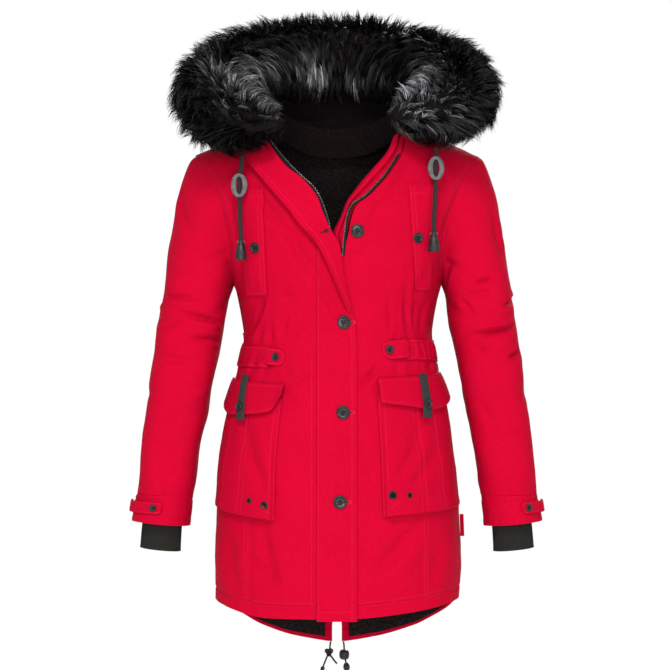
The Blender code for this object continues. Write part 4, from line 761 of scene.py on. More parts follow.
def half_grid(sign, hem, edge, neck_z, crown=None):
    """Grid (x, z) of one half of the body: rows from hem to shoulder, columns from its edge
    in the middle to the side. A row below the armpit mixes the hem's line and the armpit's
    level; a row above it is straight, and leans towards the crown where there is one."""
    weight = across_weights(HALF_COLUMNS)
    rows = []
    for share in ROW_SHARES:
        middle_z, side_z = (between((along_line(hem, at), ARMPIT_Z), share)
                            for at in (0.0, sign * SIDE_X))
        start = float(along_line(edge, middle_z))
        x = between((start, float(ring_x(sign * 90.0, side_z))), weight)
        z = between((along_line(hem, x), ARMPIT_Z), share)
        x[-1] = ring_x(sign * 90.0, z[-1])
        rows.append((x, z))
    arm_x, arm_z = armhole_points(sign, YOKE_ROWS)
    for step in range(1, YOKE_ROWS + 1):
        share = step / YOKE_ROWS
        even = between((weight, np.linspace(0, 1, HALF_COLUMNS + 1)), share)
        start_z = between((ARMPIT_Z, neck_z), share)
        x = between((float(along_line(edge, start_z)), arm_x[step]), even)
        z = between((start_z, arm_z[step]), even)
        rows.append((x, z if crown is None else between((z, crown(x)), share ** 3)))
    return np.array(rows).transpose(1, 0, 2)


def back_crown(x):
    """The back's upper edge: a hollow curve under the neck, then the shoulder's slope."""
    neck = np.clip(np.abs(x) / NECK_X, 0.0, 1.0) ** 2.2
    return np.where(np.abs(x) < NECK_X, between((BACK_NECK_Z, shoulder_z(NECK_X)), neck),
                    shoulder_z(x))


def seam_lines(points):
    """Narrow troughs of the panel seams and of the turned-up hem, where stitching pulls."""
    x, y, z = points[..., 0], points[..., 1], points[..., 2]
    dip = np.zeros(x.shape)
    for at, top, low in SEAMS:
        span = smooth(low - 1, low, z) * (1 - smooth(top, top + 4, z))
        dip = dip + 1.3 * np.exp(-((x - at) / 1.3) ** 2) * span * (y < 0)
        tuck = np.sin(z / 3.1 + 1.6 * np.sin(z / 13.0)) * np.exp(-((x - at) / 7.0) ** 2)
        dip = dip - 0.35 * tuck * span * (y < 0)
    hem = np.where(y < 0, along_line(FRONT_HEM, x), along_line(BACK_HEM, x))
    dip = dip + 1.6 * np.exp(-((z - hem - 17.0) / 1.7) ** 2)
    wave = np.sin(x / 2.6 + 1.7 * np.sin(x / 11.0)) + 0.5 * np.sin(x / 1.3)
    pucker = 0.6 * wave * np.exp(-((z - hem - 10.0) / 7.0) ** 2)
    return pucker - dip


def panel_relief(points):
    """Creases and seams together."""
    return body_relief(points) + seam_lines(points)


# %% The two fronts
fronts = {}
for sign, edge in ((-1, RIGHT_EDGE), (1, LEFT_EDGE)):
    points = front_point(*half_grid(sign, FRONT_HEM, edge, shoulder_z(NECK_X)))
    fronts[sign] = [points, directions(points) * sign]
MIDDLE_LINE = ((-800, 0.0), (60, 0.0))
halves = [half_grid(sign, BACK_HEM, MIDDLE_LINE, BACK_NECK_Z, back_crown) for sign in (-1, 1)]
back_points = back_point(*np.concatenate([halves[0][:, :, ::-1], halves[1][:, :, 1:]], axis=2))
back = [back_points, -directions(back_points)]
for sign in (-1, 1):
    edge = 0 if sign < 0 else -1
    shared = unit(fronts[sign][1][:, -1] + back[1][:, edge])
    fronts[sign][1][:, -1] = shared
    back[1][:, edge] = shared
    lift = unit(np.array([sign * SHOULDER_SLOPE, 0.0, 1.0]))
    fronts[sign][1][-1] = lift
    beyond = back[0][-1, :, 0] * sign >= NECK_X
    back[1][-1, beyond] = lift
armholes = {}
for sign in (-1, 1):
    edge = 0 if sign < 0 else -1
    front_up, back_up = fronts[sign][0][BODY_ROWS:, -1], back[0][BODY_ROWS:, edge]
    lean_front = unit(front_up - fronts[sign][0][BODY_ROWS:, -5])
    lean_back = unit(back_up - back[0][BODY_ROWS:, 4 if sign < 0 else -5])
    armholes[sign] = (
        np.concatenate([front_up, back_up[::-1][1:-1]]),
        np.concatenate([lean_front, lean_back[::-1][1:-1]]),
        np.concatenate([fronts[sign][1][BODY_ROWS:, -1], back[1][BODY_ROWS:, edge][::-1][1:-1]]))
for sign, name in ((-1, "front_right"), (1, "front_left")):
    points, out = fronts[sign]
    drawn = points.copy()
    drawn[:, 0, 0] += 0.5 * SEAM * sign
    drawn[:, -1, 1] -= 0.5 * SEAM
    outer = drawn + out * panel_relief(points)[..., None]
    wall(name, outer, outer - out * CLOTH, red, rests_on=["back_panel"])

# %% [markdown]
# ## The back and its lining
# The back is one panel with a vent in the middle of its hem. A vent could be cut out of a
# finished wall, but then its edges would be ragged: here the middle column of the grid is
# doubled, its two copies are pulled apart below the vent's top, and the cells between them
# are left out. The plush lining is the same grid, a little further in, that ends above the
# hem and beside the vent, as a facing does.

# %% The back and its vent
points, out = back
split = np.insert(np.arange(points.shape[1]), HALF_COLUMNS, HALF_COLUMNS)
points, out = points[:, split].copy(), out[:, split].copy()
low = points[:, HALF_COLUMNS, 2] < VENT_TOP_Z
spread = VENT_HALF * np.clip((VENT_TOP_Z - points[:, HALF_COLUMNS, 2]) / 110.0, 0.1, 1.0)
spread = np.where(low, spread, 0.5 * SEAM)
plain = points.copy()
points[:, HALF_COLUMNS, 0] -= spread
points[:, HALF_COLUMNS + 1, 0] += spread
room = np.maximum(spread[:, None] - np.abs(points[..., 0]) * 0.35, 0.0) * low[:, None]
beside_vent = np.abs(np.arange(points.shape[1]) - HALF_COLUMNS - 0.5) > 1
points[..., 0] += np.where(beside_vent, np.sign(points[..., 0]) * room, 0.0)
hole = np.zeros((points.shape[0] - 1, points.shape[1] - 1), bool)
hole[:, HALF_COLUMNS] = low[:-1]
outer = points + out * panel_relief(plain)[..., None]
outer[:, 0, 1] += 0.5 * SEAM
outer[:, -1, 1] += 0.5 * SEAM
wall("back_panel", outer, outer - out * CLOTH, red, hole=hole,
     rests_on=["front_left", "front_right"])

# %% The plush lining inside the back
TRIM = 8
inside = outer[:, TRIM:-TRIM] - out[:, TRIM:-TRIM] * (CLOTH + 2.0)
above_hem = inside[:, :, 2] - along_line(BACK_HEM,
                                         np.clip(plain[:, TRIM:-TRIM, 0], -SIDE_X, SIDE_X))
first = int(np.argmax(above_hem[:, inside.shape[1] // 3] > LINING_HEM))
rows = inside[first:-4:2]
facing = out[first:-4:2, TRIM:-TRIM]
middle_x = np.abs(0.5 * (rows[:-1, :-1, 0] + rows[:-1, 1:, 0]))
low_row = rows[:-1, rows.shape[1] // 2, 2] < VENT_TOP_Z + 8.0
cut = (middle_x < VENT_FACING) & low_row[:, None]
# The first row follows the hem, and the next ones let go of it within 30 mm.
low_share = np.exp(-(rows[:, :1, 2] - rows[0, 0, 2]) / 30.0)
rise = 7.0 - 4.5 * np.clip(np.abs(rows[:1, :, 0]) / 150.0, 0.0, 1.0) ** 2
rows[..., 2] -= (above_hem[first] - rise) * low_share
fuzz = softness(rows, 9.0, 0.35, 12) + softness(rows, 4.5, 0.25, 13)
rows = rows - facing * fuzz[..., None]
wall("back_lining", rows, rows - facing * LINING, fleece, hole=cut,
     rests_on=["scene_back_panel"])

# %% [markdown]
# ## Sleeves
# A sleeve is set into its armhole. The cap is a cubic that leaves the armhole across the
# shoulder and turns down into the arm; below it come level ovals. Creases gather at the
# elbow and under the arm; they are rows of angle and height on the tube.

# %% Sleeve tables
SLEEVE_NAMES = ("height", "outer", "inner", "y", "half")
SLEEVE = ((-640, 306, 224, -34, 40), (-592, 303, 221, -32, 43), (-543, 297, 213.5, -29, 45),
          (-510, 294, 209, -26, 48), (-465, 289.5, 202, -21, 51), (-420, 285, 193.5, -15, 54),
          (-375, 279, 184.5, -10, 56), (-330, 273, 175.5, -7, 59), (-285, 267, 167, -4, 62),
          (-258, 262, 163.5, -2, 65))
CAP_END_Z, SLEEVE_END_Z, CUFF_END_Z = -258.0, -543.0, -590.0
ARM_ARC = 0.92
SLEEVE_FOLDS = (
    (135, -282, 4, 56, 17, 5.0), (70, -316, 22, 60, 18, 5.0), (120, -338, 12, 50, 15, 3.5),
    (150, -392, -10, 46, 15, 2.5), (255, -300, -14, 70, 20, 4.5), (225, -346, 16, 60, 18, 3.5),
    (290, -262, 24, 60, 20, 4.0), (200, -440, -8, 50, 16, 2.5), (40, -268, -30, 48, 18, 4.0),
)
# Creases by side: arc position and height of both ends, width, depth, bow.
BACK_OF_ARM = (
    (250, -290, 190, -306, 8, 2.0, 5), (270, -332, 210, -338, 8, 1.8, -5),
    (230, -252, 200, -264, 7, 1.4, 3), (250, -420, 190, -440, 10, 1.1, 4),
    (300, -250, 280, -202, 8, 1.4, 4),
)
ARM_CREASES = {
    -1: (
        (140, -245, 65, -253, 6, 1.8, 2), (103, -272, 30, -290, 5, 2.6, 2),
        (83, -313, 18, -318, 5, 1.8, -2), (154, -254, 115, -265, 5, 1.1, 1),
        (130, -305, 81, -287, 5, 1.3, -2), (112, -342, 68, -344, 6, 1, 2),
        (97, -393, 41, -383, 8, 0.9, 2), (135, -75, 75, -170, 8, 1.2, 3),
        (79, -90, 33, -185, 7, 1.2, -3), (125, -460, 39, -482, 10, 0.9, 3),
        (133, -214, 73, -208, 9, 1, 2), (73, -200, 9, -176, 6, 1.6, -2),
        (110, -519, 58, -507, 9, 0.8, -2),
    ) + BACK_OF_ARM,
    1: (
        (65, -228, 100, -223, 5, 1.9, -2), (63, -247, 99, -241, 5, 1.4, -2),
        (107, -263, 160, -248, 5, 2.2, -2), (61, -308, 144, -287, 5.5, 3, -3),
        (62, -330, 86, -334, 5, 1.6, 2), (106, -342, 143, -322, 5, 2, -2),
        (56, -253, 71, -284, 5, 1.2, 2), (105, -105, 119, -203, 10, 1.2, 4),
        (55, -401, 77, -466, 9, 1, 3), (12, -194, 65, -211, 6, 1.4, 2),
        (124, -123, 138, -208, 9, 1, -3), (77, -463, 133, -448, 10, 0.8, 2),
        (43, -200, 25, -241, 6, 1.2, 1),
    ) + BACK_OF_ARM,
}
print("creases on the sleeves:", {sign: len(rows) for sign, rows in ARM_CREASES.items()})


def sleeve_sizes(z):
    """The outer and inner x, the middle y and the half depth of a sleeve at a height."""
    return (column(SLEEVE, SLEEVE_NAMES, name, z) for name in ("outer", "inner", "y", "half"))


def sleeve_oval(sizes, turn, grow, power=1.0):
    """Points (x, y) of a sleeve's oval at a turn from its inside round by the front."""
    outer, inner, middle, half = sizes
    cos = np.sign(np.cos(turn)) * np.abs(np.cos(turn)) ** power
    sin = np.sign(np.sin(turn)) * np.abs(np.sin(turn)) ** power
    x = 0.5 * (outer + inner) - 0.5 * (outer - inner + 2 * grow) * cos
    return x, middle - (half + grow) * sin


def sleeve_ring(sign, z, count, grow=0.0, tilt=0.0):
    """One level oval of a sleeve, grown by a margin, its outer side raised by a tilt."""
    turn = np.linspace(0.0, 2 * math.pi, count, endpoint=False)
    power = 2.0 / (2.0 + 0.9 * float(smooth(SLEEVE_END_Z, -495.0, z)))
    x, y = sleeve_oval(sleeve_sizes(z), turn, grow, power)
    return np.stack([sign * x, y, np.full(count, z) + tilt * 0.5 * (1 - np.cos(turn))], axis=-1)


def sleeve_relief(points, sign):
    """Broad folds and placed creases of a sleeve, by angle round it and height."""
    x, y, z = points[..., 0], points[..., 1], points[..., 2]
    outer, inner, middle, _ = sleeve_sizes(z)
    angle = np.degrees(np.arctan2(middle - y, 0.5 * (outer + inner) - sign * x)) % 360.0
    relief = 1.35 * creases(angle * ARM_ARC, z, ARM_CREASES[sign])
    relief = relief - 0.8 * broad_folds(angle, z, SLEEVE_FOLDS, ARM_ARC)
    relief = relief + softness(points, 90.0, 0.9, 21) + softness(points, 30.0, 0.3, 22)
    return np.clip(relief, -9.0, 3.2)


# %% Sleeves set into the armholes
CAP_ROWS, ARM_ROWS = 38, 98
SLEEVES = {}
for sign, name in ((-1, "sleeve_right"), (1, "sleeve_left")):
    loop, lean, facing = armholes[sign]
    count = len(loop)
    target = sleeve_ring(sign, CAP_END_Z, count)
    reach = np.linalg.norm(target - loop, axis=-1, keepdims=True)
    start, finish = lean * reach * 0.38, unit(np.array([sign * 0.13, -0.03, -1.0])) * reach * 0.8
    share = np.linspace(0.0, 1.0, CAP_ROWS + 1)[:, None, None]
    cap = ((1 + 2 * share) * (1 - share) ** 2 * loop + share * (1 - share) ** 2 * start
           + share * share * (3 - 2 * share) * target + share * share * (share - 1) * finish)
    arm = [sleeve_ring(sign, z, count)
           for z in np.linspace(CAP_END_Z, SLEEVE_END_Z, ARM_ROWS + 1)[1:]]
    points = np.concatenate([cap, np.array(arm)])
    out = outward(points, (sign, 0.0, 0.0), wrap=True)
    level = np.sum(out[0] * facing, axis=-1, keepdims=True) > 0.5
    out[0] = np.where(level, facing, out[0])
    row, around = np.arange(float(len(points)))[:, None], np.arange(count) * 2 * math.pi / count
    points[0] += unit(points[2] - points[0]) * np.where(level, SEAM, 2.0)
    points[:8, :, 0] += np.where(level[:, 0], 0.0, 1.4 * sign) * (1.0 - smooth(0.0, 8.0, row[:8]))
    # Ease in the seam, a ditch beside it, and creases that start and end a few rows away.
    ease = np.sin(31 * around + 1.3) + 0.6 * np.sin(47 * around)
    ease = 0.45 * ease * np.exp(-((row - 4.0) / 3.5) ** 2)
    ditch = 1.2 * np.exp(-((row - 1.0) / 1.4) ** 2)
    fade = smooth(0.0, 16.0, row) * (0.3 + 0.7 * smooth(len(points) - 1.0, len(points) - 6.0, row))
    relief = sleeve_relief(points, sign) * fade + ease - ditch
    outer = points + out * relief[..., None]
    SLEEVES[sign] = (outer, out)
    wall(name, outer, outer - out * CLOTH, red, wrap=True, rests_on=["back_panel"])

# %% [markdown]
# ## Cuffs and their ribs
# The cuff is a band of the same cotton with a tab that snaps over it. A ribbed knit sits
# inside it and grips the wrist: ribs are round ridges, drawn here as the outer wall's depth
# along the ring, finer than on the plain model.

# %% Cuff bands
CUFF_ROWS, CUFF_COLUMNS = 30, 120
CUFF_STATIONS = (0.0, 0.333, 0.667, 1.0)
CUFF_GROW, CUFF_TILT = (0.0, 1.6, 2.2, 2.6), (0.0, 2.0, 4.0, 8.0)


def cuff_band(sign, side):
    """A band that widens and tilts down the arm, wavy along its two sewn edges."""
    share = np.linspace(0.0, 1.0, CUFF_ROWS)
    levels = between((SLEEVE_END_Z - SEAM, CUFF_END_Z), share)
    rings = np.array([sleeve_ring(sign, z, CUFF_COLUMNS, grow, tilt) for z, grow, tilt in zip(
        levels, curve_through(CUFF_STATIONS, CUFF_GROW, share),
        curve_through(CUFF_STATIONS, CUFF_TILT, share))])
    out = outward(rings, (sign, 0.0, 0.0), wrap=True)
    turn = np.arange(CUFF_COLUMNS) * 2 * math.pi / CUFF_COLUMNS
    wave_round = np.sin(23 * turn + sign) + 0.6 * np.sin(37 * turn)
    edge_line = np.exp(-((share - 0.12) / 0.07) ** 2) + np.exp(-((share - 0.88) / 0.07) ** 2)
    relief = 0.35 * wave_round * edge_line[:, None] + softness(rings, 40.0, 0.8, 31 + sign)
    relief = relief - 0.9 * np.exp(-((share - 0.17) / 0.03) ** 2)[:, None]
    relief = relief * smooth(0.0, 0.08, share)[:, None]
    outer = rings + out * np.clip(relief, -1.4, 1.4)[..., None]
    wall("cuff_" + side, outer, outer - out * CLOTH, red, wrap=True, rests_on=["sleeve_" + side])


# %% Ribbed knit
RIBS, PER_RIB = 46, 6
RIB_TOP_Z, RIB_NECK_Z, RIB_END_Z, KNIT = -569.0, -583.0, -628.0, 2.8
RIB_STATIONS = (0.0, RIB_TOP_Z - RIB_NECK_Z, RIB_TOP_Z - RIB_END_Z)


def knit_rib(sign, side):
    """A knit tube drawn in below its top, with a cosine valley between every two ribs and a
    rolled end."""
    heights = np.concatenate([np.linspace(RIB_TOP_Z, RIB_NECK_Z, 5),
                              np.linspace(RIB_NECK_Z, RIB_END_Z, 16)[1:]])
    grow = curve_through(RIB_STATIONS, (-2.3, -11.4, -11.0), RIB_TOP_Z - heights)
    tilt = curve_through(RIB_STATIONS, (0.0, 2.0, 6.0), RIB_TOP_Z - heights)
    rings = np.array([sleeve_ring(sign, z, RIBS * PER_RIB, g, t)
                      for z, g, t in zip(heights, grow, tilt)])
    rings[:, :, 0] -= sign * 2.0 * smooth(0.0, RIB_STATIONS[1], RIB_TOP_Z - heights)[:, None]
    out = outward(rings, (sign, 0.0, 0.0), wrap=True)
    valley = 0.5 + 0.5 * np.cos(np.arange(RIBS * PER_RIB) * 2 * math.pi / PER_RIB)
    hem_roll = np.exp(-((heights - RIB_END_Z) / 3.0) ** 2)[:, None]
    depth = 0.4 * hem_roll - 1.25 * valley * (1 - 0.6 * hem_roll)
    wall("rib_" + side, rings + out * depth[..., None], rings - out * KNIT, knit, wrap=True,
         node="rib_cuff_" + side, rests_on=["cuff_" + side])


for sign, side in ((-1, "right"), (1, "left")):
    cuff_band(sign, side)
    knit_rib(sign, side)
print("ribs round a wrist:", RIBS)

# %% [markdown]
# ## What lies on the body
# Flaps, pockets and tabs are patches of the body's own surface, moved out by a clearance.
# They carry the same creases as the cloth beneath, so nothing pokes through. Their cut edges
# are turned under and pressed, so the cloth is thin at the edge, full just inside it, and
# drawn down along each row of stitching.


# %% Patches with pressed edges and rows of stitching
STITCH_ROWS = []


def edge_distance(points):
    """Distance of each grid point from the grid's nearest edge, in mm, along rows and
    columns."""
    across = np.linalg.norm(np.diff(points, axis=1), axis=-1)
    down = np.linalg.norm(np.diff(points, axis=0), axis=-1)
    left = np.concatenate([np.zeros((len(points), 1)), np.cumsum(across, axis=1)], axis=1)
    top = np.concatenate([np.zeros((1, points.shape[1])), np.cumsum(down, axis=0)])
    return np.minimum(np.minimum(left, left[:, -1:] - left), np.minimum(top, top[-1:] - top))


def patch(name, surface, first, second, lift, thickness, finish, stitch=(), extra=0.0,
          soft=1.0, **facts):
    """Cloth over a grid of a surface's parameters. The outer face is base + out * (thickness
    * a quarter circle at the rim - a groove at each stitch distance + extra), where the base
    is the creased body raised by lift. Returns the outer grid and its directions."""
    points = surface(first, second)
    out = analytic_normals(surface, first, second)
    base = points + out * (body_relief(points) * soft + lift)[..., None]
    rim = edge_distance(base)
    quarter = np.sqrt(1.0 - (1.0 - np.clip(rim / 2.4, 0.0, 1.0)) ** 2)
    height = thickness * (0.45 + 0.55 * quarter) + extra
    for distance in stitch:
        height = height - 0.7 * np.exp(-((rim - distance) / 1.1) ** 2)
        pucker = np.sin(points[..., 0] * 1.1 + points[..., 2] * 1.25)
        height = height + 0.18 * np.exp(-((rim - distance + 2.2) / 1.3) ** 2) * pucker
    outer = base + out * height[..., None]
    wall(name, outer, base, finish, **facts)
    return outer, out


def read_line(along, points, at):
    """Points of a line read at distances along it."""
    return np.stack([np.interp(at, along, points[:, axis]) for axis in range(3)], axis=-1)


def lengths_along(points):
    """Distance along a line at each of its points."""
    return np.concatenate([[0.0], np.cumsum(np.linalg.norm(np.diff(points, axis=0), axis=1))])


def run_of_stitches(points, out, pitch=3.9):
    """Keep a row of stitching: evenly spaced places, ways and outward directions along a
    line of surface points, none where the line is shorter than two stitches."""
    along = lengths_along(points)
    if along[-1] < 2 * pitch:
        return
    at = np.arange(0.5 * pitch, along[-1] - 0.3 * pitch, pitch)
    way = unit(read_line(along, points, at + 1.0) - read_line(along, points, at - 1.0))
    STITCH_ROWS.append((read_line(along, points, at), way, unit(read_line(along, out, at)),
                        np.zeros(len(at))))


def part_of(line, ways, span):
    """The stretch of a line and its directions between two shares of its points."""
    first = int(span[0] * (len(line) - 1))
    last = int(math.ceil(span[1] * (len(line) - 1))) + 1
    return line[first:last], ways[first:last]


def column_line(grid, out, at, span=(0.0, 1.0)):
    """A line down a grid at a fractional column, as points and directions."""
    low = int(np.clip(math.floor(at), 0, grid.shape[1] - 2))
    return part_of(between((grid[:, low], grid[:, low + 1]), at - low),
                   between((out[:, low], out[:, low + 1]), at - low), span)


def offset_line(grid, out, side, distance, span=(0.0, 1.0)):
    """A line at a distance from one side of a grid: first or last row, left or right."""
    if side in ("left", "right"):
        grid, out = grid.transpose(1, 0, 2), out.transpose(1, 0, 2)
    if side in ("last", "right"):
        grid, out = grid[::-1], out[::-1]
    steps = np.linalg.norm(np.diff(grid, axis=0), axis=-1)
    reach = np.concatenate([np.zeros((1, grid.shape[1])), np.cumsum(steps, axis=0)])
    low = np.clip(np.argmax(reach > distance, axis=0) - 1, 0, len(grid) - 2)
    pick = np.arange(grid.shape[1])
    part = ((distance - reach[low, pick]) / (reach[low + 1, pick] - reach[low, pick]))[:, None]
    return part_of(between((grid[low, pick], grid[low + 1, pick]), part),
                   between((out[low, pick], out[low + 1, pick]), part), span)


def stitch_sides(patched, *rows):
    """Rows of stitching beside a patch's sides: (side, distance, span) each."""
    for side, distance, span in rows:
        run_of_stitches(*offset_line(*patched, side, distance, span))


def strip_grid(rows, count, share):
    """Grid (x, z) of a strip given by rows of its two edges: z, x, z, x, read smoothly at
    more rows than the table has."""
    stations = np.arange(len(rows), dtype=float)
    fine = np.stack([curve_through(stations, [row[k] for row in rows],
                                   np.linspace(0.0, len(rows) - 1.0, count))
                     for k in range(4)])[..., None]
    return between((fine[1], fine[3]), share), between((fine[0], fine[2]), share)


# %% [markdown]
# ## Storm flap, its turned top, facing and zip
# The flap covers the zip from the hem to the chest. Above the top closed button it is folded
# back over the wearer's right front, so its lining side shows, with the teeth of the zip in
# the gap. On the other side the front's own facing rolls outwards as two soft bands.

# %% Flap, turned flap and facing tables
FLAP_HALF, BREAK_Z, FLAP_TOP_Z = 29.0, -330.0, -180.0
TURNED_LIFT = LIE + FLAP + 1.4
FOLD_LINE = ((-330, 29.0), (-308, 28.2), (-284, 25.4), (-266, 20.8), (-242, 14.5), (-213, 9.2),
             (-178, 4.3))
TURNED = ((-273, 22.0, -277, 18.0), (-257, 18.0, -265, 11.6), (-242, 14.3, -251, 5.6),
          (-213, 9.0, -225, -4.8), (-178, 4.0, -194, -18.6), (-156, -8.6, -168, -34.0),
          (-129, -20.4, -150, -51.0), (-108, -28.5, -128, -67.0), (-82, -49.5, -105, -87.0),
          (-62, -75.0, -82, -107.0), (-38, -92.0, -60, -127.0), (-25, -101.5, -49, -140.0))
RIGHT_TEETH = ((-172, -8.2), (-145, -13.2), (-111, -24.6), (-94, -34.6), (-75, -54.4),
               (-59, -70.4), (-33, -91.8), (-20, -100.6))
LEFT_TEETH = ((-192, 9.0), (-184, 9.4), (-162, 11.6), (-137, 14.8), (-118, 23.2), (-107, 39.0),
              (-90, 56.4), (-75, 69.6), (-54, 83.2), (-42, 90.2))
LEFT_FACING = ((-176, 0.5, -184, 8.6), (-162, -7.0, -164, 13.6), (-137, 4.3, -139, 18.6),
               (-111, 14.5, -120, 26.6), (-94, 26.5, -108, 40.5), (-77, 39.4, -91, 59.0),
               (-56, 57.0, -75, 74.0), (-37, 73.0, -55, 89.0), (-20, 82.0, -36, 98.0),
               (-6, 87.0, -16, 101.0))
FLAP_CREASES = ((-29, -300, 26, -322, 8, 1.2, 4), (-20, -345, 28, -356, 9, 1.0, -4),
                (-10, -470, 26, -482, 12, 0.8, 6), (-24, -600, 20, -640, 14, 0.9, 6),
                (4, -668, 28, -700, 8, 0.9, 4))

# %% The storm flap
heights = np.concatenate([
    np.linspace(float(along_line(FRONT_HEM, 0.0)) - 3.0, BREAK_Z, 100),
    np.linspace(BREAK_Z, FLAP_TOP_Z, 45)[1:]])
right = np.where(heights <= BREAK_Z, FLAP_HALF, along_line(FOLD_LINE, heights))
x = between((-FLAP_HALF, right[:, None]), closer_at_ends(27))
z = heights[:, None]
flap = patch("storm_flap", front_point, x, z, LIE + 0.5, FLAP, red, stitch=(9.0,),
             extra=creases(x, z, FLAP_CREASES), rests_on=["scene_front_left"])
stitch_sides(flap, ("left", 2.2, (0.0, 1.0)), ("right", 8.0, (0.0, 0.93)),
             ("first", 14.0, (0.1, 0.9)))

# %% Its turned top
x, z = strip_grid(TURNED, 90, closer_at_ends(19))
across = np.linspace(0.0, 1.0, 19)
rising = np.clip(np.linspace(0.0, 4.0, len(x)), 0.0, 1.0)[:, None]
stand = TURNED_LIFT + 9.5 * across ** 1.4 * rising
roll = 1.4 * np.exp(-(across / 0.14) ** 2)
turned = patch("storm_flap_turned", front_point, x, z, stand, FLAP, red, stitch=(8.0,),
               extra=roll + 0.6 * softness(front_point(x, z), 30.0, 0.8, 41),
               rests_on=["scene_front_right", "scene_storm_flap"])
stitch_sides(turned, ("right", 8.0, (0.0, 1.0)))

# %% The left facing: two rolled bands with a valley between them
share = np.linspace(0.0, 1.0, 33)
x, z = strip_grid(LEFT_FACING, 80, share)
points = front_point(x, z)
out = analytic_normals(front_point, x, z)
sink = curve_through((0.0, 0.25, 0.5, 0.75, 1.0), (11.0, 5.6, 5.0, 4.7, 4.5), share)
bands = 3.0 * np.abs(np.sin(2 * math.pi * share)) ** 0.7
bands = bands - 2.6 * np.exp(-((share - 0.5) / 0.06) ** 2)
points = points - out * sink[None, :, None]
points[..., 0] -= np.maximum(x - along_line(LEFT_EDGE, z) + 0.8, 0.0)
bumpy = softness(points, 26.0, 0.5, 43) + 0.25 * np.sin(z / 3.1) * np.sin(share * 9)
wall("front_facing", points + out * (bands + bumpy)[..., None], points - out * FLAP, red,
     rests_on=["scene_front_left"])

# %% Zip tapes
ZIP_TAPES = (
    # side, edges as rows of z, x, z, x beside the teeth, lift, thickness
    ("right", [(z, x + 2.0, z - 2, x - 2.6) for z, x in RIGHT_TEETH], 0.9, 0.9),
    ("left", [(z + 1, x - 1.4, z - 1, x + 2.2) for z, x in LEFT_TEETH], 0.4, 1.2),
)
for side, edges, lift, thick in ZIP_TAPES:
    patch("zip_tape_" + side, front_point, *strip_grid(edges, 60, np.linspace(0, 1, 9)),
          LIE + lift, thick, tape, rests_on=["scene_front_" + side])

# %% [markdown]
# ## Pockets
# Two small patch pockets lie on the chest. The two large ones are bellows pockets: their
# lower edge stands off the body on a pleat, and a flap covers their mouth, held by a strip
# of webbing with a button. The fullness is a lift that grows towards the foot.

# %% Chest pockets
CHEST_POCKETS = (
    # side, x of both ends of the foot and of the top, z of foot and top, x and z of the snap
    ("right", (-134.0, -101.0), (-146.0, -107.5), (-250.0, -93.0), (-118.0, -180.0)),
    ("left", (113.8, 136.0), (103.5, 146.0), (-242.0, -88.0), (116.0, -166.0)),
)
u, v = np.linspace(0.0, 1.0, 24)[None, :], np.linspace(0.0, 1.0, 64)[:, None]
for side, foot, top, level, _ in CHEST_POCKETS:
    x = between((between((foot[0], top[0]), v), between((foot[1], top[1]), v)), u)
    puff = 1.1 * (np.sin(math.pi * u) * np.sin(math.pi * v)) ** 0.6
    pocket = patch("chest_pocket_" + side, front_point, x, between(level, v), LIE + 0.5, FLAP,
                   red, stitch=(3.0, 8.0), extra=puff, rests_on=["scene_front_" + side])
    stitch_sides(pocket, *[(edge, distance, (0.03, 0.97)) for edge in ("left", "right")
                           for distance in (3.0, 8.5)])
    stitch_sides(pocket, ("first", 3.0, (0.1, 0.9)), ("last", 14.0, (0.05, 0.95)))

# %% Tables of the lower pockets
# Angles round the body and heights, each as (inner end, outer end); pleats are shares across.
POCKETS = {
    "right": {"angle": (-25.6, -79.0), "top": (-400, -392), "foot": (-577, -560),
              "pleats": (0.375, 0.655), "flap_angle": (-25.0, -84.0), "flap_top": (-379, -371),
              "flap_foot": ((0.0, -395), (0.09, -420), (0.25, -424), (0.6, -426),
                            (0.85, -418), (1.0, -403)),
              "strap_angle": (-49.0, -57.0), "strap_z": (-434, -367), "button": (-51.6, -414.5)},
    "left": {"angle": (17.0, 79.0), "top": (-392, -385), "foot": (-571, -559),
             "pleats": (0.345, 0.556), "flap_angle": (18.0, 84.0), "flap_top": (-370, -363),
             "flap_foot": ((0.0, -407.5), (0.3, -414.5), (0.47, -418.5), (0.62, -416.5),
                           (1.0, -399)),
             "strap_angle": (44.0, 49.5), "strap_z": (-430, -365), "button": (45.6, -410.5)},
}
BELLOWS_TOP, BELLOWS_LOW, FLAP_STAND, STRAP_HALF_ANGLE = 3.0, 11.0, 11.5, 3.4
POCKET_COLUMNS, PLEAT_WIDTH, PLEAT_STITCH = 72, 0.013, 0.028


def edge_rise(share, rim):
    """0 at both ends, 1 inside, rising over a rim share."""
    return np.clip(np.minimum(share, 1.0 - share) / rim, 0.0, 1.0)


def pocket_lift(u, v):
    """How far a bellows pocket stands off the body at shares across and up it: most at its
    foot and at its inner side."""
    depth = between((BELLOWS_LOW, BELLOWS_TOP), v) * (1.0 - 0.8 * u ** 1.5)
    return LIE + depth * edge_rise(u, 0.04) * np.clip(v / 0.014, 0.0, 1.0) ** 0.5


def flap_lift(u, v):
    """How far a pocket flap stands off the body at shares across and up it."""
    return LIE + 0.7 + FLAP_STAND * (1.0 - v) ** 0.75 * (1.0 - 0.55 * u ** 2)


def pocket_column(share):
    """The fractional column of a pocket's grid at a share across it."""
    return (POCKET_COLUMNS - 1) * math.acos(1.0 - 2.0 * share) / math.pi


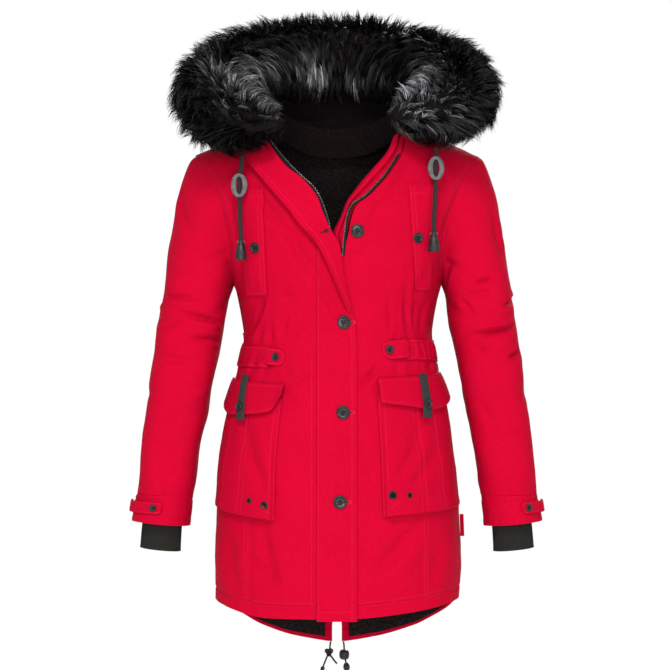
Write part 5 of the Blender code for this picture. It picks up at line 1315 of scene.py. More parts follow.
# %% Lower pockets
def lower_pocket(side, row):
    """The bellows: the body's surface raised by pocket_lift, with a groove at each pleat, a
    slow sag and rows of stitching beside its inner edge, its pleats and its foot."""
    u = closer_at_ends(POCKET_COLUMNS)[None, :]
    v = np.concatenate([np.linspace(0.0, 0.1, 14), np.linspace(0.1, 1.0, 70)[1:]])[:, None]
    z = between((between(row["foot"], u), between(row["top"], u)), v)
    pleat = sum(1.8 * np.exp(-((u - at) / PLEAT_WIDTH) ** 2) for at in row["pleats"])
    sag = 1.3 * np.sin(3.1 * np.pi * u + 0.8) * (1 - v) + 0.8 * np.sin(5 * np.pi * v + 3 * u)
    extra = (sag - pleat * (0.4 + 0.6 * v)) * edge_rise(u, 0.1) * edge_rise(v, 0.08)
    pocket = patch("lower_pocket_" + side, round_point, between(row["angle"], u), z,
                   pocket_lift(u, v), FLAP, red, stitch=(3.5,), extra=extra, soft=0.7,
                   rests_on=["scene_front_" + side])
    stitch_sides(pocket, ("left", 3.0, (0.02, 0.93)), ("left", 11.0, (0.02, 0.93)))
    for at in row["pleats"]:
        for shift in (-PLEAT_STITCH, PLEAT_STITCH):
            run_of_stitches(*column_line(*pocket, pocket_column(at + shift), (0.02, 0.9)))
    # The slanting row that closes the inner corner of the foot.
    grid, out = pocket
    columns = np.linspace(0.0, pocket_column(0.13), 12)
    base_row = np.linspace(2, 16, 12).astype(int)
    low, part = columns.astype(int), (columns % 1.0)[:, None]
    run_of_stitches(between((grid[base_row, low], grid[base_row, low + 1]), part),
                    out[base_row, low])
    stitch_sides(pocket, ("first", 3.4, (0.03, 0.97)))


# %% Pocket flaps and their straps
def pocket_flap(side, row):
    """The flap: the body's surface between its pointed foot and its top, raised by
    flap_lift."""
    u, v = closer_at_ends(64)[None, :], closer_at_ends(34)[:, None]
    z = between((along_line(row["flap_foot"], u), between(row["flap_top"], u)), v)
    extra = 0.9 * np.sin(2.3 * np.pi * u + 0.6) * (1 - v) * edge_rise(u, 0.08)
    flap = patch("pocket_flap_" + side, round_point, between(row["flap_angle"], u), z,
                 flap_lift(u, v), FLAP, red, stitch=(4.0,), extra=extra, soft=0.6,
                 rests_on=["scene_front_" + side])
    stitch_sides(flap, ("first", 4.0, (0.05, 0.95)), ("left", 4.0, (0.03, 0.97)),
                 ("last", 6.5, (0.03, 0.97)))


def pocket_strap(side, row):
    """The strip of webbing over the flap: at the flap's own lift, and a little more."""
    u, v = np.linspace(-1.0, 1.0, 9)[None, :], np.linspace(0.0, 1.0, 40)[:, None]
    angle = between(row["strap_angle"], v) + STRAP_HALF_ANGLE * u
    z = between(row["strap_z"], v)
    start, end = row["flap_angle"]
    share = (angle - start) / (end - start)
    low, top = along_line(row["flap_foot"], share), between(row["flap_top"], share)
    lift = flap_lift(share, np.clip((z - low) / (top - low), 0.0, 1.0)) + FLAP + 1.3
    patch("pocket_strap_" + side, round_point, angle, z, lift, STRAP, webbing, soft=0.6,
          rests_on=["scene_pocket_flap_" + side])


for side, row in POCKETS.items():
    lower_pocket(side, row)
    pocket_flap(side, row)
    pocket_strap(side, row)

# %% [markdown]
# ## The gathered waist
# An elastic runs in a casing round the back and the sides. Its gathers are unequal ripples,
# close together, fullest at the middle of the casing's height and pinched at its two seams.
# In front it ends in two small tabs, each with a button.

# %% Casings
CASINGS = (
    # piece, angles and heights of its two ends, ripples, depth of the ripples
    ("waist_casing_right", (-40.0, -89.0), (-340.0, -338.0), 5, 0.9),
    ("waist_casing_left", (38.5, 89.0), (-328.0, -332.0), 7, 2.4),
    ("waist_casing_back", (91.0, 269.0), (-332.0, -336.0), 22, 3.2),
)
CASING_HEIGHT, CASING_ROWS, PER_RIPPLE = 32.0, 22, 11
for name, angles, levels, ripples, full in CASINGS:
    u = np.linspace(0.0, 1.0, ripples * PER_RIPPLE + 1)[None, :]
    v = np.linspace(0.0, 1.0, CASING_ROWS)[:, None]
    swing = 2 * math.pi * ripples * u + 1.1 * np.sin(9.0 * u * ripples / 6 + 1.0)
    swing = swing + 0.5 * np.sin(5.0 * v + 11.0 * u)
    ripple = 0.5 - 0.36 * np.cos(swing) - 0.14 * np.cos(2.3 * swing + 1.0)
    bulge = np.sin(math.pi * v) ** 0.55
    pinch = 0.5 * np.cos(3.1 * swing) * np.exp(-((v - 0.5) ** 2 - 0.16) ** 2 / 0.004)
    extra = (0.3 + full * ripple * edge_rise(u, 0.1)) * bulge + 0.2 * full * pinch
    for seam in (0.1, 0.9):
        extra = extra - 0.8 * np.exp(-((v - seam) / 0.035) ** 2)
    grid, out = patch(name, round_point, between(angles, u),
                      between(levels, u) + CASING_HEIGHT * (v - 0.5), LIE, FLAP, red,
                      extra=extra, held="gathered",
                      rests_on=["scene_back_panel" if "back" in name else
                                "scene_front_" + name.split("_")[-1]])
    for row in (2.1, 18.9):
        run_of_stitches(*column_line(grid.transpose(1, 0, 2), out.transpose(1, 0, 2), row))

# %% Waist tabs
TABS = (
    # side, angles and heights of its two ends, half height, angle of its button
    ("right", (-27.6, -42.2), (-341.0, -339.0), 12.3, -33.4),
    ("left", (22.6, 41.2), (-330.0, -328.0), 13.6, 27.0),
)
for side, angles, levels, half_height, _ in TABS:
    u, v = np.linspace(0.0, 1.0, 30)[None, :], closer_at_ends(17)[:, None]
    ends = (1.0 - np.clip(np.minimum(u / 0.36, (1.0 - u) / 0.26), 0.0, 1.0)) ** 2
    z = between(levels, u) + 2 * half_height * np.sqrt(1.0 - 0.9 * ends) * (v - 0.5)
    grid, out = patch("waist_tab_" + side, round_point, between(angles, u), z,
                      LIE + 4.6 * smooth(0.1, 0.7, u), FLAP, red, stitch=(2.4,),
                      rests_on=["scene_front_" + side])
    for edge in ("first", "last", "left"):
        run_of_stitches(*offset_line(grid, out, edge, 2.4, (0.04, 0.96)), pitch=3.2)

# %% [markdown]
# ## The hood
# The hood lies back on the shoulders, open, so its cloth runs from the neck seam out and up
# to the fur. Each of its two walls is a cubic from the neck to the fur's underside; soft
# gathers start at the neck seam, where the cloth is eased in.

# %% The fur's and the hood's formulas
FUR_NAMES = ("angle", "reach", "lift", "wide", "deep", "drop", "fore")
FUR = (
    (-146, 146, 20, 15, 13, 12, 16), (-142, 150, 21, 33, 29, 15, 18),
    (-134, 160, 24, 53, 46, 20, 20), (-122, 176, 30, 73, 60, 24, 22),
    (-105, 180, 31, 77, 64, 16, 12), (-86, 168, 22, 77, 66, 3, 3), (-62, 150, 9, 77, 71, 0, 0),
    (-32, 132, 3, 74, 71, 0, 0), (0, 126, 0, 72, 70, 0, 0), (32, 130, 2, 72, 70, 0, 0),
    (62, 148, 9, 75, 69, 0, 0), (86, 168, 22, 75, 65, 2, 2), (105, 179, 30, 76, 64, 12, 9),
    (122, 173, 31, 71, 60, 16, 18), (134, 157, 28, 53, 46, 9, 16),
    (142, 148, 26, 33, 29, 4, 13), (146, 144, 25, 15, 13, 4, 12),
)
FACE_MIDDLE = np.array([0.0, -5.0, 55.0])
FACE_UP = np.array([0.0, 0.84, 0.5426])
FACE_OUT = np.array([0.0, -0.5426, 0.84])
FACE_SIDE = np.array([1.0, 0.0, 0.0])
HOOD_END = 118.0
SEAM_NAMES = ("angle", "x", "y", "z")
NECK_SEAM = ((-136, -103.0, -64.0, -6.0), (-118, -99.0, -36.0, 10.0), (-98, -91.0, 0.0, 18.0),
             (-70, -76.0, 38.0, 12.0), (-35, -44.0, 71.0, 2.0), (0, 0.0, 82.0, -1.0),
             (35, 44.0, 71.0, 2.0), (70, 76.0, 38.0, 12.0), (98, 91.0, 0.0, 17.0),
             (118, 98.0, -34.0, 6.0), (136, 103.0, -60.0, -2.0))


def fur_point(angle, turn, shrink=0.0):
    """A point of the fur at an angle round the opening and a turn round its oval section."""
    angle, turn = np.broadcast_arrays(np.asarray(angle, float), np.asarray(turn, float))
    reach, lift = (column(FUR, FUR_NAMES, name, angle) for name in ("reach", "lift"))
    wide = column(FUR, FUR_NAMES, "wide", angle) - shrink
    deep = column(FUR, FUR_NAMES, "deep", angle) - shrink
    sweep = np.radians(angle)[..., None]
    away = np.sin(sweep) * FACE_SIDE + np.cos(sweep) * FACE_UP
    spin = np.radians(turn)
    radial = (reach + wide * np.cos(spin))[..., None]
    hang = np.stack([np.zeros(angle.shape), -column(FUR, FUR_NAMES, "fore", angle),
                     -column(FUR, FUR_NAMES, "drop", angle)], axis=-1)
    rise = (lift + deep * np.sin(spin))[..., None]
    return FACE_MIDDLE + away * radial + FACE_OUT * rise + hang


def tufts(angle, turn):
    """How far the fur's tufted surface lies inside its full round: two sine waves."""
    return (3.0 + 1.6 * np.sin(np.radians(5.0 * turn + 11.0 * angle))
            + 1.4 * np.sin(np.radians(3.0 * turn - 17.0 * angle)))


def bezier(start, first, second, end, share):
    """Points of a cubic Bezier between grids of points, at shares along it."""
    s = share[:, None, None]
    return ((1 - s) ** 3 * start + 3 * s * (1 - s) ** 2 * first
            + 3 * s * s * (1 - s) * second + s ** 3 * end)


# %% The hood's shell
HOOD_COLUMNS, HOOD_ROWS, SHELL = 129, 44, 2.2
angles = np.linspace(-HOOD_END, HOOD_END, HOOD_COLUMNS)
turn = np.abs(angles) / HOOD_END
neck = np.stack([column(NECK_SEAM, SEAM_NAMES, axis, angles) for axis in "xyz"], axis=-1)
sweep = np.radians(angles)[:, None]
away = unit(np.sin(sweep) * FACE_SIDE * 1.1 + np.cos(sweep) * np.array([0.0, 1.0, 0.0]))
back_share = np.clip(np.cos(0.5 * np.pi * turn ** 1.3), 0.0, 1.0)[:, None]
down = np.array([0.0, 0.0, -1.0])
shell_turn = -52.0 - 60.0 * turn ** 1.4
rim = fur_point(angles, shell_turn, shrink=tufts(angles, shell_turn) - 2.7 - 3.2 * turn ** 2)
start = neck + down * 2.6
drop = back_share ** 2
first = start + away * (22.0 + 50.0 * back_share) + down * (1.0 + 51.0 * drop)
second = rim + away * (2.0 + 44.0 * back_share) + down * (92.0 * drop + 6.0)
share = np.linspace(0.0, 1.0, HOOD_ROWS)
shell = bezier(start, first, second, rim, share)
out = outward(shell, (0.0, 1.0, 0.0))
ripple = np.sin(angles * 0.42 + 1.2 * np.sin(angles * 0.09)) + 0.5 * np.sin(angles * 0.83)
ripple = ripple * np.exp(-((share - 0.05) / 0.16) ** 2)[:, None]
middle_seam = -1.4 * np.exp(-(angles / 1.4) ** 2)
fade = (smooth(0.0, 0.06, share) * smooth(1.0, 0.9, share))[:, None]
relief = (0.8 * ripple + softness(shell, 90.0, 2.0, 51) + softness(shell, 34.0, 0.5, 52)
          + middle_seam) * fade
shell_outer = shell + out * np.clip(relief, -4.0, 2.2)[..., None]
wall("hood_shell", shell_outer, shell_outer - out * SHELL, red, rests_on=["scene_back_panel"])
for column_at in (62.9, 65.1):
    run_of_stitches(*column_line(shell_outer, out, column_at))

# %% [markdown]
# ## The hood's plush
# The lining is cut like the shell and lies inside it. Where it meets the neck it doesn't
# stop: it runs on down inside the collar, and this is what shows in the neck. So its grid is
# the same kind of cubic, with a short skirt of level rows in front of it.

# %% The hood's plush lining
SKIRT_ROWS, SKIRT_DROP = 10, 44.0
lining_turn = -128.0 - 30.0 * turn ** 2
rim = fur_point(angles, lining_turn, shrink=tufts(angles, lining_turn) + 16.0)
inward = unit(neck * np.array([-1.0, -1.0, 0.0]))
start = neck + inward * 6.5 - down * 7.5
first = start + away * (6.0 + 46.0 * back_share) + down * (-4.0 + 16.0 * back_share)
second = rim + away * (-8.0 + 72.0 * back_share) + down * (8.0 + 12.0 * back_share)
below = np.linspace(1.0, 0.0, SKIRT_ROWS + 1)[:-1, None, None]
skirt = start + below * (down * SKIRT_DROP + inward * 2.5)
lining = np.concatenate([skirt, bezier(start, first, second, rim, share)])
fade = np.concatenate([np.ones((SKIRT_ROWS, 1)), fade])
out = outward(lining, (0.0, 1.0, 0.0))
fuzz = softness(lining, 60.0, 1.2, 54) + softness(lining, 8.0, 0.3, 55)
lining_outer = lining - out * (fuzz * fade)[..., None]
wall("hood_lining", lining_outer, lining_outer - out * LINING, plush,
     rests_on=["scene_hood_shell"])

# %% [markdown]
# ## The fur
# Imitation fur is a dense pile of long fibres that stick together in locks. A fibre system
# would do, but plain ribbons are lighter and can be steered: each one is rooted on a dark
# core, rises, and leans over to the point of its lock. The lean follows the strip's crest,
# so that hair falls outwards on the outer side and into the hood on the inner one. The core
# and the hair stay inside the round of the plain model.

# %% Combing the fur
CORE_SHRINK = 27.0
LOCKS, FIBRES, STEPS, FUR_PARTS = 3400, 18, 3, 4
LOCK_RADIUS, FIBRE_HALF = 5.2, 0.51
# Width and painted highlight at the four points of a fibre, from its root to its tip.
TAPER, HIGHLIGHT_ALONG = (1.0, 0.92, 0.66, 0.0), (0.05, 0.50, 1.0, 0.75)
# Patches where light catches the combed hair, painted as paler fibres: painted highlight.
PAINTED_HIGHLIGHT_PATCHES = (
    # angle round the opening, turn round the section, spread of both, strength of the painted
    # highlight
    (-104, 118, 14, 34, 0.90), (-84, 150, 14, 24, 0.55), (-124, 120, 11, 46, 1.10),
    (-135, 140, 8, 40, 0.70), (-38, 160, 16, 18, 0.80), (-24, 176, 14, 20, 1.20),
    (24, 184, 14, 16, 0.80), (52, 180, 12, 20, 0.60), (98, 150, 10, 26, 0.60),
    (116, 150, 12, 34, 1.70), (128, 140, 10, 60, 2.30), (138, 110, 9, 80, 2.20),
)


def comb(angle, turn, long):
    """Where a lock's hair ends: its turn moves away from the crest at 92 degrees, by up to
    60 degrees for long hair, and its angle drifts a little."""
    side = np.tanh((92.0 - turn) / 40.0)
    swing = -side * np.where(side > 0, 10.0 + 8.0 * long, 26.0 + 16.0 * long)
    drift = 3.0 * np.sin(np.radians(turn * 3.0 + angle * 5.0)) + 2.2 * np.sign(angle) * long
    return angle + drift, turn + swing


# %% Locks and fibres
dice = np.random.default_rng(77)
lock_angle = dice.uniform(-143.0, 143.0, LOCKS * 3)
lock_turn = dice.uniform(-150.0, 235.0, LOCKS * 3)
wide = column(FUR, FUR_NAMES, "wide", lock_angle)
# More locks where the section is large and far from the opening's middle.
size = wide * (column(FUR, FUR_NAMES, "reach", lock_angle) + wide * np.cos(np.radians(lock_turn)))
keep = dice.uniform(0, 1, len(size)) < size / size.max()
lock_angle, lock_turn = lock_angle[keep][:LOCKS], lock_turn[keep][:LOCKS]
locks = len(lock_angle)
lock_long = dice.uniform(0.0, 1.0, locks)
end_angle, end_turn = comb(lock_angle, lock_turn, lock_long)
lock_tip = fur_point(end_angle, end_turn, shrink=11.0 - 15.5 * dice.uniform(0, 1, locks) ** 1.3)
lock_tip[:, 2] -= 3.0 * dice.uniform(0, 1, locks)
owner = np.repeat(np.arange(locks), FIBRES)
count = len(owner)
spread = np.degrees(LOCK_RADIUS / column(FUR, FUR_NAMES, "wide", lock_angle)[owner])
root_turn = lock_turn[owner] + dice.normal(size=count) * spread * 0.55
root_angle = lock_angle[owner] + dice.normal(size=count) * 1.35
root = fur_point(root_angle, root_turn, shrink=CORE_SHRINK - 2.0)
normal = unit(fur_point(root_angle, root_turn, shrink=4.0) - root)
loose = dice.uniform(0.0, 1.0, count)
tip = lock_tip[owner] + dice.normal(size=(count, 3)) * (0.9 + 3.4 * loose ** 3)[:, None]
short = 1.0 - 0.38 * dice.uniform(0.0, 1.0, count) ** 1.6
tip = root + (tip - root) * short[:, None]
# Each fibre is a quadratic curve that leaves its root along the core's outward direction.
bend = root + normal * (0.55 * np.linalg.norm(tip - root, axis=1))[:, None]
steps = np.linspace(0.0, 1.0, STEPS + 1)[None, :, None]
path = ((1 - steps) ** 2 * root[:, None] + 2 * steps * (1 - steps) * bend[:, None]
        + steps ** 2 * tip[:, None])
run = unit(np.gradient(path, axis=1))
tilt = unit(normal + 0.55 * dice.normal(size=(count, 3)))[:, None]
side = unit(np.cross(run, tilt))
half = (FIBRE_HALF * dice.uniform(0.7, 1.25, count))[:, None] * np.array(TAPER)
print("locks:", locks, "fibres:", count)

# %% How much painted highlight each fibre carries
# near gathers the painted highlight of the patches; each lock and fibre takes a random share of it.
near = np.zeros(count)
for angle, turn, wide_angle, wide_turn, strength in PAINTED_HIGHLIGHT_PATCHES:
    gap_turn = (root_turn - turn + 180.0) % 360.0 - 180.0
    near = near + strength * np.exp(-((root_angle - angle) / wide_angle) ** 2
                                    - (gap_turn / wide_turn) ** 2)
lock_highlight = dice.uniform(0.0, 1.0, locks)[owner] ** 2.2
strand = 0.12 + 0.88 * dice.uniform(0.0, 1.0, count) ** 4
pale = np.clip(near, 0.0, 2.1) * (0.12 + 0.88 * lock_highlight) * strand * 2.6
# A few grey fibres anywhere, at random: the fur's own colour.
pale = pale + 0.10 * dice.uniform(0.0, 1.0, count) ** 8
# Along each fibre the painted highlight is faint at the root and fullest near the tip.
highlight_and_grey = pale[:, None] * np.array(HIGHLIGHT_ALONG)
print("fibres with a pale stretch: %d" % (pale > 0.3).sum())

# %% The fur's finish
fur_hair, tree, shader = new_material("black_fur", (0.004, 0.0035, 0.0038), 0.42,
                                      specular=0.045)
# The fibres' attribute blends the near-black hair towards a pale grey: painted highlight where
# light catches the combed locks, and a few random grey fibres.
attribute = add(tree, "ShaderNodeAttribute", attribute_name="highlight_and_grey")
dark = blend(tree, noise(tree, coordinates(tree), 30.0), (0.0009, 0.0008, 0.0008),
             (0.0034, 0.0020, 0.0018))
tree.links.new(blend(tree, attribute.outputs["Fac"], dark, (0.34, 0.345, 0.36)),
               shader.inputs["Base Color"])

# %% [markdown]
# ## Ribbons
# A fibre is a flat ribbon that narrows to a point: two points at each step and one at its
# tip. Its shading directions are not the ribbon's own, which would glitter, but lean out of
# the fur, so that light falls on the locks as on one soft round.


# %% Meshes of fur
def along_ribbon(left, right, end):
    """One row for each point of a ribbon: left and right at each step, then the tip."""
    rows = np.zeros((len(end), 2 * STEPS + 1) + end.shape[1:])
    rows[:, 0:2 * STEPS:2], rows[:, 1:2 * STEPS:2], rows[:, -1] = left, right, end
    return rows


def ribbons(name, chosen, finish):
    """Join chosen fibres into one mesh: quads along each and a triangle at its tip."""
    count, per = len(chosen), 2 * STEPS + 1
    reach = side[chosen, :-1] * half[chosen, :-1, None]
    vertices = along_ribbon(path[chosen, :-1] - reach, path[chosen, :-1] + reach,
                            path[chosen, -1])
    corners = [k + j for k in range(0, 2 * STEPS - 2, 2) for j in (0, 1, 3, 2)]
    corners += [2 * STEPS - 2, 2 * STEPS - 1, 2 * STEPS]
    loops = ((np.arange(count) * per)[:, None] + np.array(corners)).ravel()
    sizes = np.tile(np.array([4] * (STEPS - 1) + [3]), count)
    mesh = bpy.data.meshes.new(name)
    mesh.vertices.add(count * per)
    mesh.vertices.foreach_set("co", (vertices * MM).astype(np.float32).ravel())
    mesh.loops.add(len(loops))
    mesh.loops.foreach_set("vertex_index", loops.astype(np.int32))
    mesh.polygons.add(len(sizes))
    mesh.polygons.foreach_set("loop_start", (np.cumsum(sizes) - sizes).astype(np.int32))
    mesh.polygons.foreach_set("loop_total", sizes.astype(np.int32))
    mesh.update(calc_edges=True)
    # Each fibre carries its painted highlight, with its random grey, as a point attribute.
    shade = mesh.attributes.new("highlight_and_grey", "FLOAT", "POINT")
    values = along_ribbon(highlight_and_grey[chosen, :-1], highlight_and_grey[chosen, :-1], highlight_and_grey[chosen, -1])
    shade.data.foreach_set("value", values.astype(np.float32).ravel())
    mesh.shade_smooth()
    lean = unit(normal[chosen][:, None] * 0.9 + 0.35 * side[chosen])
    lean = unit(lean - run[chosen] * np.sum(lean * run[chosen], axis=-1, keepdims=True))
    custom = along_ribbon(lean[:, :-1], lean[:, :-1], lean[:, -1])
    mesh.normals_split_custom_set_from_vertices(custom.reshape(-1, 3).tolist())
    placed(name, mesh, finish, "fur_trim")
    return len(sizes) + (STEPS - 1) * count


in_order = np.argsort(root_angle)
for part in range(FUR_PARTS):
    chosen = in_order[part * count // FUR_PARTS:(part + 1) * count // FUR_PARTS]
    print("fur part", part, "triangles:", ribbons("fur_%d" % part, chosen, fur_hair))

# %% [markdown]
# ## The core under the hair
# Between the fibres the ground of the fur shows. It is one closed, lumpy tube under them, in
# near-black pile, a hair's length inside the plain model.


# %% Faces of a closed tube
def tube_faces(rows, around, turned=False):
    """Faces of a tube of rings that a point closes at each end: quads and two fans. Turned,
    they face the other way."""
    r, c = (part.ravel() for part in np.meshgrid(np.arange(rows - 1), np.arange(around),
                                                 indexing="ij"))
    d = (c + 1) % around
    quads = np.stack([r * around + c, r * around + d, (r + 1) * around + d,
                      (r + 1) * around + c], axis=1)
    k, last = np.arange(around), (rows - 1) * around
    head = np.stack([np.full(around, rows * around), (k + 1) % around, k], axis=1)
    foot = np.stack([np.full(around, rows * around + 1), last + k, last + (k + 1) % around],
                    axis=1)
    if turned:
        quads, head, foot = quads[:, [0, 3, 2, 1]], head[:, [0, 2, 1]], foot[:, [0, 2, 1]]
    return quads.tolist() + head.tolist() + foot.tolist()


# %% The core
CORE_ROWS, CORE_AROUND, CORE_END = 120, 48, 145.5
grid_angle, grid_turn = np.meshgrid(
    np.linspace(-CORE_END, CORE_END, CORE_ROWS),
    np.linspace(0.0, 360.0, CORE_AROUND, endpoint=False), indexing="ij")
thin = np.minimum(CORE_SHRINK, 0.62 * column(FUR, FUR_NAMES, "deep", grid_angle))
lumps = 2.5 * np.sin(np.radians(grid_turn * 6 + grid_angle * 9))
core = fur_point(grid_angle, grid_turn, shrink=thin + lumps * np.minimum(1.0, thin / CORE_SHRINK))
vertices = np.concatenate([core.reshape(-1, 3), core[:1].mean(axis=1), core[-1:].mean(axis=1)])
fur_ground = pile("fur_ground", (0.0035, 0.003, 0.0032), (0.010, 0.008, 0.008), 300.0, 0.003)
solid("fur_core", vertices, tube_faces(CORE_ROWS, CORE_AROUND, turned=True), fur_ground, 60.0,
      "fur_trim")
print("core vertices:", len(vertices))

# %% [markdown]
# ## Buttons, snaps, eyelets and cords
# Small hard pieces are turned or swept shapes with real detail: a button has a rolled rim, a
# dish, four holes with dark plugs as painted shade and a cross of thread; an eyelet is a rolled
# ring round a dark plate, painted shade for its hole; a cord is a braid of crossing strands; a
# bell-shaped end grips the cord through a slotted cap.


# %% Turned and swept shapes
def lathe(profile, steps):
    """A closed turned shape: (radius, height) pairs from the top of the axis to the foot,
    each pair swept round Z at x = r cos t, y = r sin t. Ends on the axis become fans."""
    profile = np.asarray(profile, float)
    turn = np.linspace(0.0, 2 * math.pi, steps, endpoint=False)
    rings = profile[1:-1]
    body = np.stack([rings[:, :1] * np.cos(turn), rings[:, :1] * np.sin(turn),
                     np.repeat(rings[:, 1:], steps, axis=1)], axis=-1).reshape(-1, 3)
    points = np.concatenate([body, [[0, 0, profile[0, 1]], [0, 0, profile[-1, 1]]]])
    return points, tube_faces(len(rings), steps, turned=True)


def rope(path_points, radius, sides, relief=None):
    """A closed tube along points: rings in a frame that turns as little as it can. relief
    multiplies the radius over (ring, side)."""
    spots = np.asarray(path_points, float)
    ahead = unit(np.gradient(spots, axis=0))
    helper = np.array([1.0, 0.0, 0.0]) if abs(ahead[0, 0]) < 0.8 else np.array([0.0, 1.0, 0.0])
    across = np.zeros_like(spots)
    for k, way in enumerate(ahead):
        helper = helper - way * float(helper @ way)
        helper = helper / np.linalg.norm(helper)
        across[k] = helper
    other = np.cross(ahead, across)
    turn = np.linspace(0.0, 2 * math.pi, sides, endpoint=False)
    size = np.broadcast_to(np.asarray(radius, float), (len(spots),))[:, None]
    size = size * (relief if relief is not None else np.ones((len(spots), sides)))
    rings = (spots[:, None] + size[..., None] * (np.cos(turn)[None, :, None] * across[:, None]
             + np.sin(turn)[None, :, None] * other[:, None]))
    points = np.concatenate([rings.reshape(-1, 3), spots[:1], spots[-1:]])
    return points, tube_faces(len(spots), sides)


def stood(points, spot, normal):
    """Points made along +Z, stood on a surface point along its outward direction, with
    their own Y kept as upright as it can be."""
    normal = unit(np.asarray(normal, float))
    up = np.array([0.0, 0.0, 1.0]) - normal * normal[2]
    up = unit(up)
    right = np.cross(up, normal)
    return np.asarray(spot) + points @ np.stack([right, up, normal])


def joined(name, parts, sharp=40.0):
    """One piece from several closed shapes: (points, faces, finish) each."""
    vertices, faces, slots, finishes = [], [], [], []
    start = 0
    for points, shape, finish in parts:
        if finish not in finishes:
            finishes.append(finish)
        vertices.append(points)
        faces.extend([tuple(int(i) + start for i in face) for face in shape])
        slots.extend([finishes.index(finish)] * len(shape))
        start += len(points)
    piece = solid(name, np.concatenate(vertices), faces, finishes[0], sharp)
    for finish in finishes[1:]:
        piece.data.materials.append(finish)
    piece.data.polygons.foreach_set("material_index", np.array(slots, np.int32))
    return piece


# %% Where things sit
def on_surface(surface, first, second, lift, soft=1.0):
    """A point and outward direction on the creased body, raised by lift."""
    first, second = np.array([[first]], float), np.array([[second]], float)
    points = surface(first, second)
    out = analytic_normals(surface, first, second)
    return (points + out * (body_relief(points) * soft + lift)[..., None])[0, 0], out[0, 0]


def hole_shade_plug(radius, height, spot):
    """A small dark plug that shows as a hole: painted shade where the hole would be in shadow."""
    points, faces = lathe(((0, height + 0.06), (radius * 0.9, height + 0.05),
                           (radius, height - 0.25), (radius * 0.9, height - 0.5),
                           (0, height - 0.55)), 10)
    return points + np.array([spot[0], spot[1], 0.0]), faces


# Near-black for the plugs, plates and slits that show holes: painted shade.
hole_shade_black = moulded("hole_shade_black", (0.003, 0.003, 0.003), (0.006, 0.006, 0.006), 0.8,
                     specular=0.04)
cord_cloth = woven("cord_braid", (0.016, 0.014, 0.015), (0.050, 0.043, 0.047), 0.0009)
button_thread = woven("button_thread", (0.016, 0.013, 0.014), (0.050, 0.044, 0.046), 0.0006)
print("small finishes:", [m.name for m in (hole_shade_black, cord_cloth, button_thread)])

# %% [markdown]
# ## Buttons and snaps
# Every button here is the same turned shape at another size: one profile of shares of its
# radius and height. It could be a plain disc with a picture of holes; dark plugs in its holes
# as painted shade, real thread, and a thin bright metal arc over the upper side of its dish
# as a painted glint keep it true from close by.

# %% Buttons and snaps
FRONT_BUTTONS = ((10.0, -289.0), (8.6, -420.0), (4.3, -548.0))
OPEN_BUTTON = (29.5, -157.0)
BUTTON_RADIUS, SNAP_RADIUS, TAB_BUTTON_RADIUS, STRAP_BUTTON_RADIUS = 10.0, 8.0, 6.2, 6.6
BUTTON_HEIGHT, SNAP_HEIGHT = 3.4, 2.6
# Shares of the radius and of the height, from the middle of the face to the foot's middle.
BUTTON_PROFILE = ((0, 0.50), (0.30, 0.47), (0.55, 0.50), (0.66, 0.62), (0.72, 0.90),
                  (0.79, 1.0), (0.88, 0.97), (0.96, 0.80), (1.0, 0.52), (0.97, 0.22),
                  (0.90, 0.0), (0, 0.0))


def sewn_button(name, spot, normal, radius, height, spin):
    """A four-hole button: rolled rim, dish, holes filled with dark plugs as painted shade,
    thread across them, and a bright metal arc over the upper dish as a painted glint.
    """
    parts = [(*lathe(np.array(BUTTON_PROFILE) * (radius, height), 40), button_grey)]
    gap = 0.23 * radius
    # Dark plugs fill the four holes: painted shade.
    for sx in (-1, 1):
        for sy in (-1, 1):
            hole = hole_shade_plug(0.115 * radius, 0.50 * height, (sx * gap, sy * gap))
            parts.append((*hole, hole_shade_black))
    at = np.linspace(-1.0, 1.0, 9)
    rise = 0.50 * height + 0.10 * radius * (1 - at ** 4) + 0.05
    for way in (-1, 1):
        for shift in (-0.055 * radius, 0.055 * radius):
            line = np.stack([gap * at - shift * way, way * gap * at + shift, rise], axis=-1)
            parts.append((*rope(line, 0.048 * radius, 6), button_thread))
    # A bright metal arc over the upper side of the dish only: a painted glint.
    arc = np.linspace(0.5, 2.4, 14)
    painted_glint = np.stack([0.62 * radius * np.cos(arc), 0.62 * radius * np.sin(arc),
                      np.full(len(arc), 0.60 * height)], axis=-1)
    parts.append((*rope(painted_glint, 0.030 * radius, 6), bright_metal))
    turn = np.array([[math.cos(spin), math.sin(spin), 0.0],
                     [-math.sin(spin), math.cos(spin), 0.0], [0.0, 0.0, 1.0]])
    joined(name, [(stood(points @ turn, spot, normal), faces, finish)
                  for points, faces, finish in parts])


sewn_button("front_button_1", *on_surface(front_point, *OPEN_BUTTON, 0.2), BUTTON_RADIUS,
            BUTTON_HEIGHT, 0.5)
for number, (x, z) in enumerate(FRONT_BUTTONS, 2):
    sewn_button("front_button_%d" % number, *on_surface(front_point, x, z, LIE + FLAP + 0.5),
                BUTTON_RADIUS, BUTTON_HEIGHT, 0.9 * number)
for side, *_, snap in CHEST_POCKETS:
    sewn_button("chest_snap_" + side, *on_surface(front_point, *snap, LIE + FLAP + 0.8),
                SNAP_RADIUS, SNAP_HEIGHT, 0.3)
for side, _, levels, _, angle in TABS:
    sewn_button("waist_button_" + side,
                *on_surface(round_point, angle, levels[0] + 0.8, LIE + FLAP + 2.6),
                TAB_BUTTON_RADIUS, SNAP_HEIGHT, 0.8)
for side, row in POCKETS.items():
    sewn_button("strap_button_" + side,
                *on_surface(round_point, *row["button"], LIE + FLAP_STAND + FLAP + 2.0, 0.6),
                STRAP_BUTTON_RADIUS, SNAP_HEIGHT, 0.2)
print("buttons and snaps:", sum("button" in name or "snap" in name for name in PIECES))

